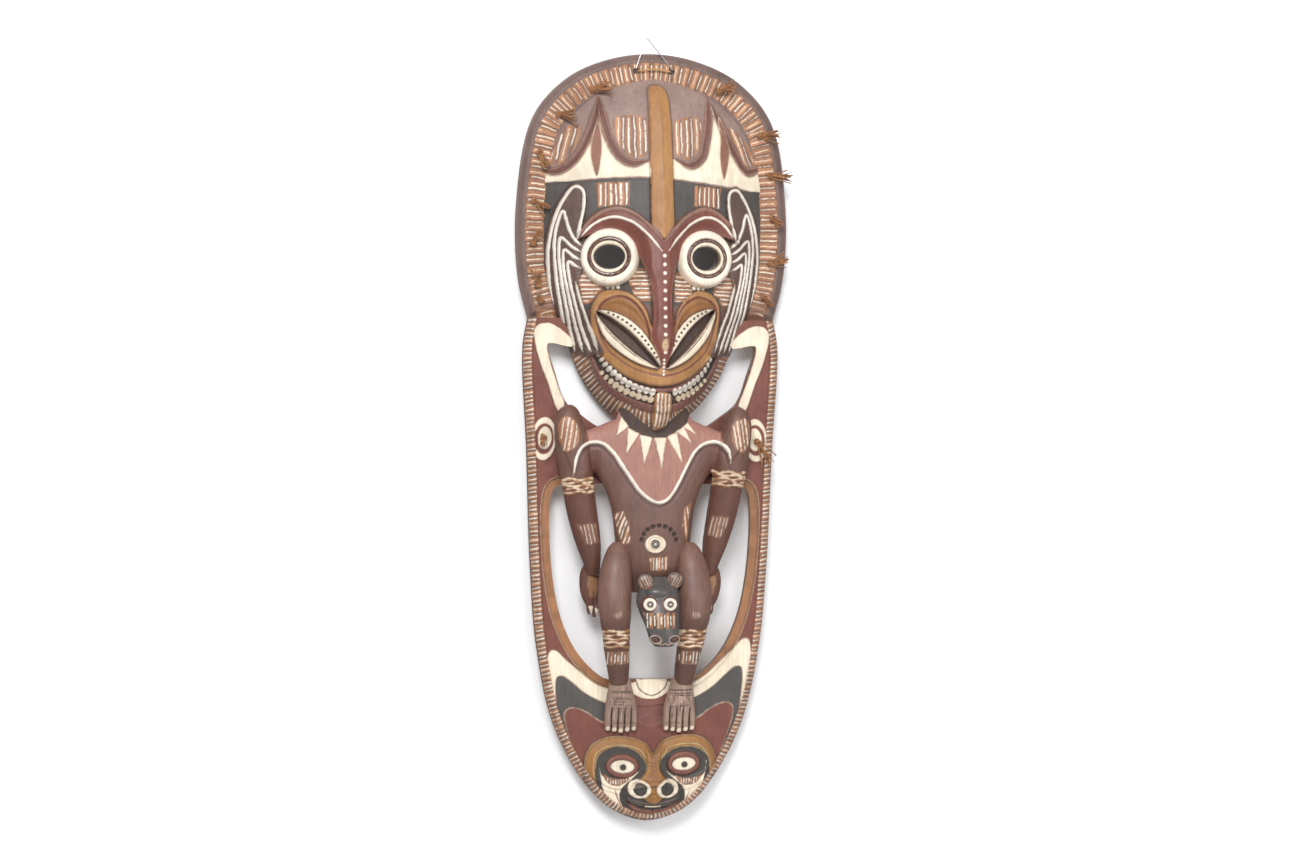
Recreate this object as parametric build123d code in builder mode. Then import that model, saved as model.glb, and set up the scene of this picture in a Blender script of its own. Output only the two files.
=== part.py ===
from build123d import *
import math
import os

# A carved and painted wall mask: a tall tapering board cut from one piece of wood, with a hollow
# spirit face at the top, a small squatting figure in the middle and a second face at the foot.
# Fibre tassels are knotted through drilled holes, shell and paste inlays are set into the eyes,
# and a bent steel wire through two holes at the top hangs it up.
# Millimetres. X is to the right, -Y is the front, +Z is up. The origin is where the wall hook
# carries the wire, and the flat back of the board stands HOOK_STANDOFF behind it.
# Most shapes are given as (across, up, depth): across from the mask's middle line, up as world Z,
# and depth as the distance in front of the wall.

# ---------------------------------------------------------------- driving dimensions
MASK_X = 10.0            # the mask's middle line, right of the hook, because the wire has slipped
HOOK_STANDOFF = 14.0     # from the wall to the hook's bearing line
HEAD_TOP = -18.0
HEAD_HALF_WIDTH = 177.0
WAIST_Z = -363.0         # notch between the head plate and the long body board
WAIST_HALF_WIDTH = 161.0
FOOT_Z = -1013.0
PLATE_DEPTH = 14.0       # head plate, front face above the wall
BORDER_DEPTH = 9.0       # the head plate's outer edge, after its bevel
FRAME_DEPTH = 20.0       # body board
BEVEL = 9.0
RECESS_DEPTH = 6.0       # hollow behind the head plate's band, where the knots lie
RECESS_MARGIN = 12.0     # flat lip left around that hollow
FACE_BACK = 4.0
RELIEF = 7.0             # how proud brows, ears and muzzle stand on the face
OPENING_TOP = -576.0
OPENING_SILL = -829.0

EYE_X = 58.0
EYE_Z = -286.0
EYE_TURN = 14.0          # degrees that each eye ring faces outwards
EYE_RING_BASE = 40.0
EYE_RING_HEIGHT = 24.0
EYE_RING_RADIUS = 35.5
EYE_RING_SLOPE = 5.0
EYE_HOLE = (20.0, 15.5)
INLAY_OUTER = 27.0
INLAY_INNER = 22.5
INLAY_SINK = 2.0         # how deep an inlay is set in
INLAY_PROUD = 0.5

ANIMAL_X = 1.0
ANIMAL_EYE_OFFSET = 13.0
ANIMAL_EYE_Z = -727.0
ANIMAL_EYE_DEPTH = 98.0
SHELL_RADIUS = 8.5
NAVEL = (0.0, -652.5, 61.0)
NAVEL_RADIUS = 9.0
LOWER_FACE_X = 4.0       # the lower face sits a little right of the middle line
LOWER_FACE_DEPTH = 29.0
NOSTRIL_OFFSET = 17.5
NOSTRIL_Z = -969.0
NOSTRIL_DEPTH = 36.0
NOSTRIL_RADIUS = 7.0

BULLSEYE_X = 137.0
BULLSEYE_Z = -518.0
BULLSEYE_DEPTH = 23.0

WIRE_RADIUS = 0.7
WIRE_BEND = 2.2
WIRE_HOLE_X = 23.4
WIRE_HOLE_Z = -41.2
WIRE_HOLE_RADIUS = 3.0
WIRE_OFFSET = 0.7        # the wire keeps to the outer side of its hole
WIRE_SLOPE = 22.0        # degrees that the wire slants up through its hole at rest
WIRE_REACH = 6.2         # from the hole's middle to the wire's bends
WIRE_CORNER = (-10.4, 2.85)
TWIST_RADIUS = 1.3
TWIST_LENGTH = 14.0
CANE_RADIUS = 0.8
CANE_SEAT = 0.05         # the cane is pressed this far into the hole's wall
CANE_BOW_DEPTH = 18.5

TASSEL_HOLE_RADIUS = 2.0
NECK_RADIUS = 1.9
KNOT_RADIUS = 4.6
BACK_KNOT_RADIUS = 3.6
BACK_KNOT_DEPTH = 1.6
KNOT_GAP = 0.3
POCKET_RADIUS = 7.0      # pocket in the back of the body board for a back knot
STRAND_START = 2.4
STRAND_END = 4.2

# Each tassel: place of its hole, the way its strands lie (degrees, 0 to the right, 90 up),
# how far they lift off the surface, and their length.
BAND_TASSELS = [
    (-80.0, -67.0, 22.0, 26.0, 25.0),
    (-125.0, -101.0, 0.0, 36.0, 26.0),
    (-149.0, -150.0, -68.0, 20.0, 22.0),
    (-156.0, -212.0, -29.0, 26.0, 23.0),
    (-156.0, -268.0, 69.0, 18.0, 22.0),
    (-149.0, -322.0, 88.0, 18.0, 22.0),
    (-145.0, -341.0, 118.0, 24.0, 9.0),
    (84.0, -65.0, 22.0, 24.0, 25.0),
    (140.0, -121.0, 5.0, 20.0, 28.0),
    (154.0, -173.0, -4.0, 20.0, 28.0),
    (157.0, -228.0, -34.0, 28.0, 17.0),
    (156.0, -289.0, 26.0, 20.0, 24.0),
    (147.0, -331.0, -60.0, 24.0, 16.0),
]
BULLSEYE_TASSELS = [
    (-141.0, -517.0, -100.0, 24.0, 12.0),
    (138.0, -520.0, -57.0, 16.0, 32.0),
]

# Half outlines of the boards, across and up, starting at the waist.
HEAD_RIGHT = [(WAIST_HALF_WIDTH, WAIST_Z), (174.0, -310.0), (HEAD_HALF_WIDTH, -215.0),
              (157.0, -104.0), (114.0, -53.0), (60.0, -27.0), (0.0, HEAD_TOP)]
BODY_RIGHT = [(WAIST_HALF_WIDTH, WAIST_Z), (167.0, -400.0), (161.0, -530.0), (155.0, -680.0),
              (146.0, -785.0), (124.0, -885.0), (84.0, -961.0), (46.0, -998.0), (0.0, FOOT_Z)]

# Cross-sections of the face, from the crown to the chin: height, half width, front depth.
FACE_SLICES = [
    (-56.0, 34.0, 17.0),
    (-76.0, 78.0, 34.0),
    (-110.0, 113.0, 50.0),
    (-160.0, 134.0, 61.0),
    (-225.0, 142.0, 69.0),
    (-290.0, 139.0, 76.0),
    (-345.0, 127.0, 84.0),
    (-400.0, 107.0, 89.0),
    (-440.0, 89.0, 87.0),
    (-472.0, 66.0, 79.0),
    (-492.0, 44.0, 69.0),
    (-504.0, 22.0, 58.0),
]
CAVITY_SLICES = [
    (-92.0, 62.0, 24.0),
    (-125.0, 94.0, 38.0),
    (-170.0, 113.0, 47.0),
    (-230.0, 122.0, 54.0),
    (-290.0, 119.0, 60.0),
    (-345.0, 107.0, 67.0),
    (-400.0, 87.0, 71.0),
    (-440.0, 66.0, 68.0),
    (-468.0, 42.0, 57.0),
]

# Limbs as stacked ellipses: up, across, depth, half width, half thickness.
TORSO = [(-481, 0, 24, 96, 10), (-505, 0, 27, 106, 23), (-545, 0, 29, 88, 23),
         (-590, 0, 34, 63, 20), (-650, 0, 38, 53, 22), (-690, 0, 36, 46, 20), (-718, 0, 34, 28, 12)]
NECK = [(-470, 0, 42, 30, 14), (-512, 0, 36, 40, 16)]
ARM = [(-464, 104, 30, 8, 8), (-482, 106, 31, 20, 16), (-520, 106, 31, 22, 18),
       (-580, 97, 32, 21, 17), (-630, 84, 31, 18, 15), (-680, 73, 30, 12, 12),
       (-713, 77, 29, 13, 11), (-743, 73, 27, 6, 6)]
LEG = [(-651, 49, 50, 9, 8), (-668, 50, 54, 18, 17), (-700, 51, 57, 20, 20),
       (-738, 51, 61, 21, 19), (-774, 47, 54, 19, 16), (-795, 44, 46, 16, 15), (-838, 40, 34, 13, 12)]
FOOT = [(-820, 40, 33, 13, 12), (-848, 39, 30, 18, 12), (-878, 38, 28, 22, 10), (-899, 38, 26, 20, 6)]
ANIMAL = [(-697, ANIMAL_X, 66, 17, 9), (-712, ANIMAL_X, 70, 27, 18), (-735, ANIMAL_X, 77, 27, 21),
          (-760, ANIMAL_X, 84, 22, 18), (-780, ANIMAL_X, 89, 19, 15), (-791, ANIMAL_X, 92, 13, 9)]

FRONT = Plane(origin=(MASK_X, HOOK_STANDOFF, 0), x_dir=(1, 0, 0), z_dir=(0, -1, 0))
FORWARD = (0, -1, 0)
STANDING = (Align.CENTER, Align.CENTER, Align.MIN)

os.makedirs("parts", exist_ok=True)


def at(across, up, depth):
    return Vector(MASK_X + across, HOOK_STANDOFF - depth, up)


def level(z):
    """Horizontal plane at height z, its origin on the board's back."""
    return Plane(origin=(MASK_X, HOOK_STANDOFF, z))


def spot(across, up, depth, turn=0.0):
    """Plane that looks forwards from a point, turned sideways by some degrees."""
    return Plane(FRONT * Location((across, up, depth), (0, turn, 0)))


def mirrored(points):
    return [(-x, y) for x, y in points[::-1]]


def board_face(right_side, inset=0.0, depth=0.0):
    """Symmetrical outline of a board, drawn inset from its edge at a depth in front of the wall."""
    half_width = max(x for x, _ in right_side)
    waist, tip = right_side[0][1], right_side[-1][1]
    middle, half_height = (waist + tip) / 2, abs(waist - tip) / 2
    along, up = 1 - inset / half_width, 1 - inset / half_height
    right = [(x * along, middle + (z - middle) * up) for x, z in right_side]
    left = mirrored(right)
    with BuildSketch(FRONT.offset(depth)) as outline:
        with BuildLine():
            Spline(right + left[1:])
            Line(left[-1], right[0])
        make_face()
    return outline.sketch.face()


def bevelled_board(right_side, edge_depth, depth):
    """A flat board whose front edge is bevelled all round."""
    with BuildPart() as board:
        extrude(board_face(right_side), amount=edge_depth, dir=FORWARD)
        loft([board_face(right_side, 0.0, edge_depth), board_face(right_side, BEVEL, depth)],
             ruled=True)
    return board.part


def face_sections(slices, back, grow=0.0):
    """Cross-sections of a domed face: a full front curve closed by a straight back."""
    sections = []
    for z, half_width, depth in slices:
        width = half_width + grow
        rise = depth + grow - back
        shape = [(1.0, 0.0), (0.84, 0.32), (0.46, 0.74)]
        right = [(width * x, -back - rise * y) for x, y in shape]
        left = [(-x, y) for x, y in right]
        with BuildSketch(level(z)) as section:
            with BuildLine():
                Spline(left + [(0, -back - rise)] + right[::-1])
                Line(right[0], left[0])
            make_face()
        sections.append(section.sketch.face())
    return sections


def ellipse_sections(rows, side=1.0):
    """Horizontal ellipses of a limb."""
    sections = []
    for z, across, depth, half_width, half_depth in rows:
        with BuildSketch(level(z)) as section:
            with Locations((side * across, -depth)):
                Ellipse(half_width, half_depth)
        sections.append(section.sketch.face())
    return sections


def save(part, name):
    part.label = name
    export_step(part, f"parts/{name}.step")


# ---------------------------------------------------------------- openings through the board
with BuildSketch(FRONT) as chin_openings:
    for side in (1, -1):
        with BuildLine():
            FilletPolyline(
                [(side * 138, -394), (side * 96, -402), (side * 46, -492), (side * 66, -505),
                 (side * 113, -474)],
                radius=6, close=True)
        make_face()

SIDE_CURVE = [(131.0, -600.0), (128.0, -690.0), (114.0, -755.0), (90.0, -800.0), (56.0, OPENING_SILL)]
with BuildSketch(FRONT) as body_opening:
    with BuildLine():
        Spline(SIDE_CURVE)
        Line(SIDE_CURVE[-1], mirrored(SIDE_CURVE)[0])
        Spline(mirrored(SIDE_CURVE))
        Polyline(mirrored(SIDE_CURVE)[-1], (-116.0, OPENING_TOP), (116.0, OPENING_TOP), SIDE_CURVE[0])
    make_face()

# ---------------------------------------------------------------- raised parts of the face
NOSE_BAR = [(-15, -66), (15, -66), (17, -225), (3, -268), (-3, -268), (-17, -225)]
BROW = [(3, -268), (54, -224), (106, -268), (54, -241), (20, -277), (13, -330), (11, -396)]
EAR = [(108, -198), (124, -225), (137, -290), (120, -404), (74, -408), (96, -300), (104, -250),
       (96, -215)]
MUZZLE = [(52, -330), (82, -352), (78, -400), (36, -442), (0, -452), (0, -436), (32, -420),
          (60, -385), (50, -356), (20, -372), (34, -340)]

with BuildPart() as face_relief:
    loft(face_sections(FACE_SLICES, FACE_BACK, grow=RELIEF))
    with BuildSketch(FRONT):
        with BuildLine():
            Polyline(NOSE_BAR, close=True)
        make_face()
        for side in (1, -1):
            with BuildLine():
                Spline([(side * x, z) for x, z in BROW])
                Polyline((side * 11, -396), (0, -396), (0, -268), (side * 3, -268))
            make_face()
            with BuildLine():
                Spline([(side * x, z) for x, z in EAR], periodic=True)
            make_face()
            with BuildLine():
                Spline([(side * x, z) for x, z in MUZZLE], periodic=True)
            make_face()
    extrude(amount=130, mode=Mode.INTERSECT)

# ---------------------------------------------------------------- the lower face
HEART = [(0, -918), (16, -903), (40, -896), (66, -901), (80, -920), (80, -940), (69, -967),
         (44, -992), (0, -1006)]
with BuildPart() as lower_face:
    with BuildSketch(FRONT.offset(FRAME_DEPTH - 1)):
        with BuildLine():
            Spline([(LOWER_FACE_X + x, z) for x, z in HEART])
            Spline([(LOWER_FACE_X + x, z) for x, z in mirrored(HEART)])
        make_face()
    extrude(amount=LOWER_FACE_DEPTH - FRAME_DEPTH + 1)
    with BuildSketch(FRONT.offset(LOWER_FACE_DEPTH - 1)):
        with Locations((LOWER_FACE_X - 39, -935), (LOWER_FACE_X + 39, -935)):
            Ellipse(21, 15)
    extrude(amount=4)
    with BuildSketch(FRONT.offset(LOWER_FACE_DEPTH - 1)):
        with Locations((LOWER_FACE_X - NOSTRIL_OFFSET, NOSTRIL_Z),
                       (LOWER_FACE_X + NOSTRIL_OFFSET, NOSTRIL_Z)):
            Ellipse(11, 13)
    extrude(amount=NOSTRIL_DEPTH - LOWER_FACE_DEPTH + 1)

# ---------------------------------------------------------------- the carving, all one piece of wood
with BuildPart() as carving:
    add(bevelled_board(HEAD_RIGHT, BORDER_DEPTH, PLATE_DEPTH))
    add(bevelled_board(BODY_RIGHT, PLATE_DEPTH, FRAME_DEPTH))
    extrude(chin_openings.sketch, amount=60, both=True, mode=Mode.SUBTRACT)
    extrude(body_opening.sketch, amount=60, both=True, mode=Mode.SUBTRACT)
    add(lower_face.part)
    with BuildSketch(FRONT.offset(FRAME_DEPTH - 1)):
        with Locations((-BULLSEYE_X, BULLSEYE_Z), (BULLSEYE_X, BULLSEYE_Z)):
            Ellipse(14, 26)
    extrude(amount=BULLSEYE_DEPTH - FRAME_DEPTH + 1)

    # the face and its eye collars, which look a little outwards
    loft(face_sections(FACE_SLICES, FACE_BACK))
    add(face_relief.part)
    for side in (1, -1):
        with Locations(spot(side * EYE_X, EYE_Z, EYE_RING_BASE, side * EYE_TURN)):
            Cylinder(EYE_RING_RADIUS, EYE_RING_HEIGHT - EYE_RING_SLOPE, align=STANDING)
            with Locations((0, 0, EYE_RING_HEIGHT - EYE_RING_SLOPE)):
                Cone(EYE_RING_RADIUS, EYE_RING_RADIUS - EYE_RING_SLOPE, EYE_RING_SLOPE, align=STANDING)

    # the figure: trunk, neck, arms, legs and feet, and the animal's head before it
    loft(ellipse_sections(TORSO))
    loft(ellipse_sections(NECK))
    for side in (1, -1):
        loft(ellipse_sections(ARM, side))
        loft(ellipse_sections(LEG, side))
        loft(ellipse_sections(FOOT, side))
    loft(ellipse_sections(ANIMAL))
    with Locations(spot(ANIMAL_X, -712, 40)):
        Cylinder(14, 30, align=STANDING)
    for side in (1, -1):
        with Locations(spot(ANIMAL_X + side * 19, -698, 64)):
            Cylinder(10, 12, align=STANDING)
        with Locations(spot(ANIMAL_X + side * ANIMAL_EYE_OFFSET, ANIMAL_EYE_Z, 80)):
            Cylinder(10, ANIMAL_EYE_DEPTH - 80, align=STANDING)
    with Locations(spot(NAVEL[0], NAVEL[1], 40)):
        Cylinder(NAVEL_RADIUS + 2, NAVEL[2] - 40, align=STANDING)

    # hollow behind the face and the shallow recess behind the band
    loft(face_sections(CAVITY_SLICES, -5.0), mode=Mode.SUBTRACT)
    extrude(board_face(HEAD_RIGHT, RECESS_MARGIN), amount=RECESS_DEPTH, dir=FORWARD, mode=Mode.SUBTRACT)

    # eye holes with the groove that holds each inlay
    for side in (1, -1):
        eye = spot(side * EYE_X, EYE_Z, EYE_RING_BASE, side * EYE_TURN)
        with BuildSketch(eye.offset(-30)):
            Ellipse(*EYE_HOLE)
        extrude(amount=80, mode=Mode.SUBTRACT)
        with BuildSketch(eye.offset(EYE_RING_HEIGHT)):
            Circle(INLAY_OUTER)
            Circle(INLAY_INNER, mode=Mode.SUBTRACT)
        extrude(amount=-INLAY_SINK, mode=Mode.SUBTRACT)

    # seats for the round inlays
    for side in (1, -1):
        with Locations(spot(ANIMAL_X + side * ANIMAL_EYE_OFFSET, ANIMAL_EYE_Z, ANIMAL_EYE_DEPTH)):
            Cylinder(SHELL_RADIUS, 2 * INLAY_SINK, mode=Mode.SUBTRACT)
        with Locations(spot(LOWER_FACE_X + side * NOSTRIL_OFFSET, NOSTRIL_Z, NOSTRIL_DEPTH)):
            Cylinder(NOSTRIL_RADIUS, 2 * INLAY_SINK, mode=Mode.SUBTRACT)
    with Locations(spot(*NAVEL)):
        Cylinder(NAVEL_RADIUS, 2 * INLAY_SINK, mode=Mode.SUBTRACT)

    # drilled holes for the wire and the tassels
    with Locations(spot(-WIRE_HOLE_X, WIRE_HOLE_Z, 0), spot(WIRE_HOLE_X, WIRE_HOLE_Z, 0)):
        Cylinder(WIRE_HOLE_RADIUS, 60, mode=Mode.SUBTRACT)
    with Locations(*[spot(across, up, 0) for across, up, *_ in BAND_TASSELS + BULLSEYE_TASSELS]):
        Cylinder(TASSEL_HOLE_RADIUS, 60, mode=Mode.SUBTRACT)
    with Locations(*[spot(across, up, 0) for across, up, *_ in BULLSEYE_TASSELS]):
        Cylinder(POCKET_RADIUS, 2 * RECESS_DEPTH, mode=Mode.SUBTRACT)
save(carving.part, "carving")

# ---------------------------------------------------------------- inlays
for name, side in (("left", -1), ("right", 1)):
    eye = spot(side * EYE_X, EYE_Z, EYE_RING_BASE, side * EYE_TURN)
    with BuildPart() as eye_inlay:
        with BuildSketch(eye.offset(EYE_RING_HEIGHT - INLAY_SINK)):
            Circle(INLAY_OUTER)
            Circle(INLAY_INNER, mode=Mode.SUBTRACT)
        extrude(amount=INLAY_SINK + INLAY_PROUD)
    save(eye_inlay.part, f"eye_inlay_{name}")

    with BuildPart() as animal_eye:
        depth = ANIMAL_EYE_DEPTH - INLAY_SINK
        with BuildSketch(spot(ANIMAL_X + side * ANIMAL_EYE_OFFSET, ANIMAL_EYE_Z, depth)):
            Circle(SHELL_RADIUS)
        extrude(amount=INLAY_SINK + INLAY_PROUD)
    save(animal_eye.part, f"animal_eye_{name}")

    with BuildPart() as nostril_inlay:
        depth = NOSTRIL_DEPTH - INLAY_SINK
        with BuildSketch(spot(LOWER_FACE_X + side * NOSTRIL_OFFSET, NOSTRIL_Z, depth)):
            Circle(NOSTRIL_RADIUS)
        extrude(amount=INLAY_SINK + INLAY_PROUD)
    save(nostril_inlay.part, f"nostril_inlay_{name}")

with BuildPart() as navel_inlay:
    with BuildSketch(spot(NAVEL[0], NAVEL[1], NAVEL[2] - INLAY_SINK)):
        Circle(NAVEL_RADIUS)
    extrude(amount=INLAY_SINK + INLAY_PROUD)
save(navel_inlay.part, "navel_inlay")

# ---------------------------------------------------------------- hanger wire, one closed loop
hole_middle = (RECESS_DEPTH + PLATE_DEPTH) / 2
climb = WIRE_REACH * math.sin(math.radians(WIRE_SLOPE))
through = WIRE_REACH * math.cos(math.radians(WIRE_SLOPE))
wire_x = WIRE_HOLE_X + WIRE_OFFSET
back_z = WIRE_HOLE_Z - climb
front_z = WIRE_HOLE_Z + climb

with BuildPart() as hanger_wire:
    with BuildLine():
        route = FilletPolyline(
            at(-1, back_z, hole_middle - through),
            at(-wire_x, back_z, hole_middle - through),
            at(-wire_x, front_z, hole_middle + through),
            at(WIRE_CORNER[0], WIRE_CORNER[1], HOOK_STANDOFF),
            at(wire_x, front_z, hole_middle + through),
            at(wire_x, back_z, hole_middle - through),
            at(1, back_z, hole_middle - through),
            radius=WIRE_BEND)
    with BuildSketch(Plane(origin=route @ 0, z_dir=route % 0)):
        Circle(WIRE_RADIUS)
    sweep()
    with Locations(Plane(origin=at(0, back_z, hole_middle - through), z_dir=(1, 0, 0))):
        Cylinder(TWIST_RADIUS, TWIST_LENGTH)
save(hanger_wire.part, "hanger_wire")

# ---------------------------------------------------------------- cane strip, sprung into both holes
cane_x = WIRE_HOLE_X - WIRE_HOLE_RADIUS + CANE_RADIUS - CANE_SEAT
with BuildPart() as cane_strip:
    with BuildLine():
        route = FilletPolyline(
            at(-cane_x, WIRE_HOLE_Z, RECESS_DEPTH + 1),
            at(-cane_x, WIRE_HOLE_Z, PLATE_DEPTH + 3),
            at(-8, WIRE_HOLE_Z + 2.0, CANE_BOW_DEPTH),
            at(8, WIRE_HOLE_Z + 2.2, CANE_BOW_DEPTH),
            at(cane_x, WIRE_HOLE_Z, PLATE_DEPTH + 3),
            at(cane_x, WIRE_HOLE_Z, RECESS_DEPTH + 1),
            radius=(2.0, 20.0, 20.0, 2.0))
    with BuildSketch(Plane(origin=route @ 0, z_dir=route % 0)):
        Circle(CANE_RADIUS)
    sweep()
save(cane_strip.part, "cane_strip")

# ---------------------------------------------------------------- tassels
def knot_profile(surface):
    """Half section of a tassel's cord and its two knots: distance from the axis, then depth."""
    back_top = RECESS_DEPTH - KNOT_GAP
    front = surface + KNOT_GAP
    return [(0, BACK_KNOT_DEPTH), (BACK_KNOT_RADIUS, BACK_KNOT_DEPTH), (BACK_KNOT_RADIUS, back_top),
            (NECK_RADIUS, back_top), (NECK_RADIUS, front), (KNOT_RADIUS * 0.7, front),
            (KNOT_RADIUS, front + 2), (KNOT_RADIUS, front + 5), (KNOT_RADIUS * 0.6, front + 7),
            (0, front + 7)]


tassels = [(row, PLATE_DEPTH) for row in BAND_TASSELS]
tassels += [(row, BULLSEYE_DEPTH) for row in BULLSEYE_TASSELS]
for number, ((across, up, lie, lift, length), surface) in enumerate(tassels, start=1):
    lie, lift = math.radians(lie), math.radians(lift)
    way = Vector(math.cos(lie) * math.cos(lift), -math.sin(lift), math.sin(lie) * math.cos(lift))
    knot_middle = surface + KNOT_GAP + 3.5
    with BuildPart() as tassel:
        with BuildSketch(Plane(origin=at(across, up, 0), x_dir=(1, 0, 0), z_dir=(0, 0, 1))):
            with BuildLine():
                Polyline([(r, -depth) for r, depth in knot_profile(surface)], close=True)
            make_face()
        revolve(axis=Axis(at(across, up, 0), FORWARD))
        with Locations(Plane(origin=at(across, up, knot_middle), z_dir=way)):
            Cone(STRAND_START, STRAND_END, KNOT_RADIUS + length, align=STANDING)
    save(tassel.part, f"tassel_{number:02d}")
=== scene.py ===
"""Looks of the carved and painted wooden mask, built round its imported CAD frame.

Shapes are worked out in the mask's own millimetres: u across from the middle line, z up, and d
forwards from the flat back. place() turns them into the frame's metres. A Surface holds points that
the brushes below carve and paint from the front, as the carver did.
"""

import math

import bmesh
import bpy
import numpy as np
from mathutils import Matrix, Vector


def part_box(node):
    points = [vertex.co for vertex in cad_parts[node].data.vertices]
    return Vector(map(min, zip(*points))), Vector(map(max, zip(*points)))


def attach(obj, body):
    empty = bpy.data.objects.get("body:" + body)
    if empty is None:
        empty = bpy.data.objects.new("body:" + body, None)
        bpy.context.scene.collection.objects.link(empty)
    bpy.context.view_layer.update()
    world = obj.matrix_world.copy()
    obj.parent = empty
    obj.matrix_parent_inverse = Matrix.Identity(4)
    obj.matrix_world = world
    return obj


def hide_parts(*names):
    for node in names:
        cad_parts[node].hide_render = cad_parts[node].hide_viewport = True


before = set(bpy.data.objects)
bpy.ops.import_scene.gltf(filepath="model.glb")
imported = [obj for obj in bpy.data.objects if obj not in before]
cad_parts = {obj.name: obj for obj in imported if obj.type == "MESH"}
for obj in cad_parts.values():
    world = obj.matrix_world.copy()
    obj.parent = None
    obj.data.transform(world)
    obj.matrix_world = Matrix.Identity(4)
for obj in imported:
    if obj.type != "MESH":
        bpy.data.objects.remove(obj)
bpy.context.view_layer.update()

carving_low, carving_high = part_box("carving")
MASK_X = (carving_low.x + carving_high.x) * 500
BACK_Y = carving_high.y * 1000
PITCH = 0.85      # spacing of the points of a carved surface, mm
STROKE_KINDS = 211      # how many strokes differ before the same ones come again
FACING = -0.12          # a point is at the front where the y of its normal is below this

WHITE = (0.86, 0.79, 0.69)
CREAM = (0.84, 0.72, 0.56)
ORANGE = (0.385, 0.175, 0.083)
RUST = (0.22, 0.105, 0.065)
RIM = (0.165, 0.105, 0.09)
DOME = (0.30, 0.205, 0.175)
OCHRE = (0.42, 0.205, 0.075)
LEDGE = (0.33, 0.148, 0.064)
CHARCOAL = (0.082, 0.072, 0.065)
MAROON = (0.185, 0.058, 0.040)
# a lighter maroon; along the brows' upper bevels it is a painted highlight
BEVEL = (0.25, 0.125, 0.095)
MAUVE = (0.37, 0.175, 0.135)
BODY = (0.150, 0.074, 0.054)
BLACK = (0.05, 0.043, 0.039)
HEART = (0.30, 0.135, 0.035)
WORN = (0.24, 0.165, 0.125)
RAW = (0.20, 0.125, 0.08)


# ------------------------------------------------------------------ curves and distances

def place(u, z, d):
    """Places in the frame, in metres, of points in the mask's own millimetres."""
    u, z, d = np.broadcast_arrays(u, z, d)
    return np.stack([MASK_X + u, BACK_Y - d, z], -1) / 1000.0


def local(point):
    """A frame point in the mask's own millimetres: across, up and depth."""
    return point.x * 1000 - MASK_X, point.z * 1000, BACK_Y - point.y * 1000


def ease(x):
    """A smooth step from 0 to 1."""
    x = np.clip(x, 0.0, 1.0)
    return x * x * (3.0 - 2.0 * x)


def flip(points):
    """The same outline on the other side of the middle line."""
    return [(-u, *rest) for u, *rest in points]


def doubled(half):
    """A closed outline from a line for its right half."""
    return np.vstack([half, flip(half)[::-1]])


def sided(side, points):
    """Points given for the right, on the right side (1) or the left one (-1)."""
    return [(side * u, z) for u, z in points]


def both(right):
    """A closed outline from its right half, given from the bottom up."""
    left = [(-u, z) for u, z in reversed(right) if abs(u) > 0.01]
    return list(right) + left


def curve(points, closed=False, steps=8):
    """A smooth line through the points."""
    p = np.array(points, float)
    if closed:
        q = np.vstack([p[-1], p, p[0], p[1]])
    else:
        q = np.vstack([2 * p[0] - p[1], p, 2 * p[-1] - p[-2]])
    gap = np.sqrt(np.maximum(np.linalg.norm(np.diff(q, axis=0), axis=1), 1e-6))
    t = np.concatenate([[0], np.cumsum(gap)])
    rate = np.diff(q, axis=0) / gap[:, None]
    across = (q[2:] - q[:-2]) / (t[2:] - t[:-2])[:, None]
    slope = rate[:-1] + rate[1:] - across
    out = []
    for i in range(len(slope) - 1):
        h = gap[i + 1]
        s = np.linspace(0, 1, steps, endpoint=False)[:, None]
        a, b = q[i + 1], q[i + 2]
        ma, mb = slope[i] * h, slope[i + 1] * h
        out.append((2 * s**3 - 3 * s**2 + 1) * a + (s**3 - 2 * s**2 + s) * ma
                   + (3 * s**2 - 2 * s**3) * b + (s**3 - s**2) * mb)
    if not closed:
        out.append(q[-2][None])
    return np.vstack(out)


def loop(points, steps=8):
    """A smooth closed outline through the points."""
    return curve(points, closed=True, steps=steps)


def unit(steps):
    """The same vectors, each of length one."""
    return steps / np.maximum(np.linalg.norm(steps, axis=1), 1e-9)[:, None]


def reached(line):
    """How far along a line each of its points is."""
    return np.concatenate([[0], np.cumsum(np.linalg.norm(np.diff(line, axis=0), axis=1))])


def oval(u, z, ru, rz, turn=0.0, count=28):
    """An ellipse, turned by some degrees."""
    a = np.linspace(0, 2 * math.pi, count, endpoint=False)
    x, y = ru * np.cos(a), rz * np.sin(a)
    c, s = math.cos(math.radians(turn)), math.sin(math.radians(turn))
    return np.stack([u + x * c - y * s, z + x * s + y * c], -1)


def measure(u, z, line, closed=False):
    """Distance to a line, how far along it the nearest point is, and which side it is on."""
    p = np.asarray(line, float)
    if closed:
        p = np.vstack([p, p[0]])
    best = np.full(u.shape, 1e12)
    along = np.zeros(u.shape)
    side = np.ones(u.shape)
    gone = 0.0
    for a, b in zip(p[:-1], p[1:]):
        run = b - a
        length = math.hypot(*run)
        if length < 1e-9:
            continue
        t = np.clip(((u - a[0]) * run[0] + (z - a[1]) * run[1]) / length**2, 0, 1)
        eu, ez = u - a[0] - t * run[0], z - a[1] - t * run[1]
        square = eu * eu + ez * ez
        near = square < best
        best[near] = square[near]
        along[near] = gone + t[near] * length
        side[near] = np.sign(run[0] * ez - run[1] * eu)[near]
        gone += length
    return np.sqrt(best), along, side


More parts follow.
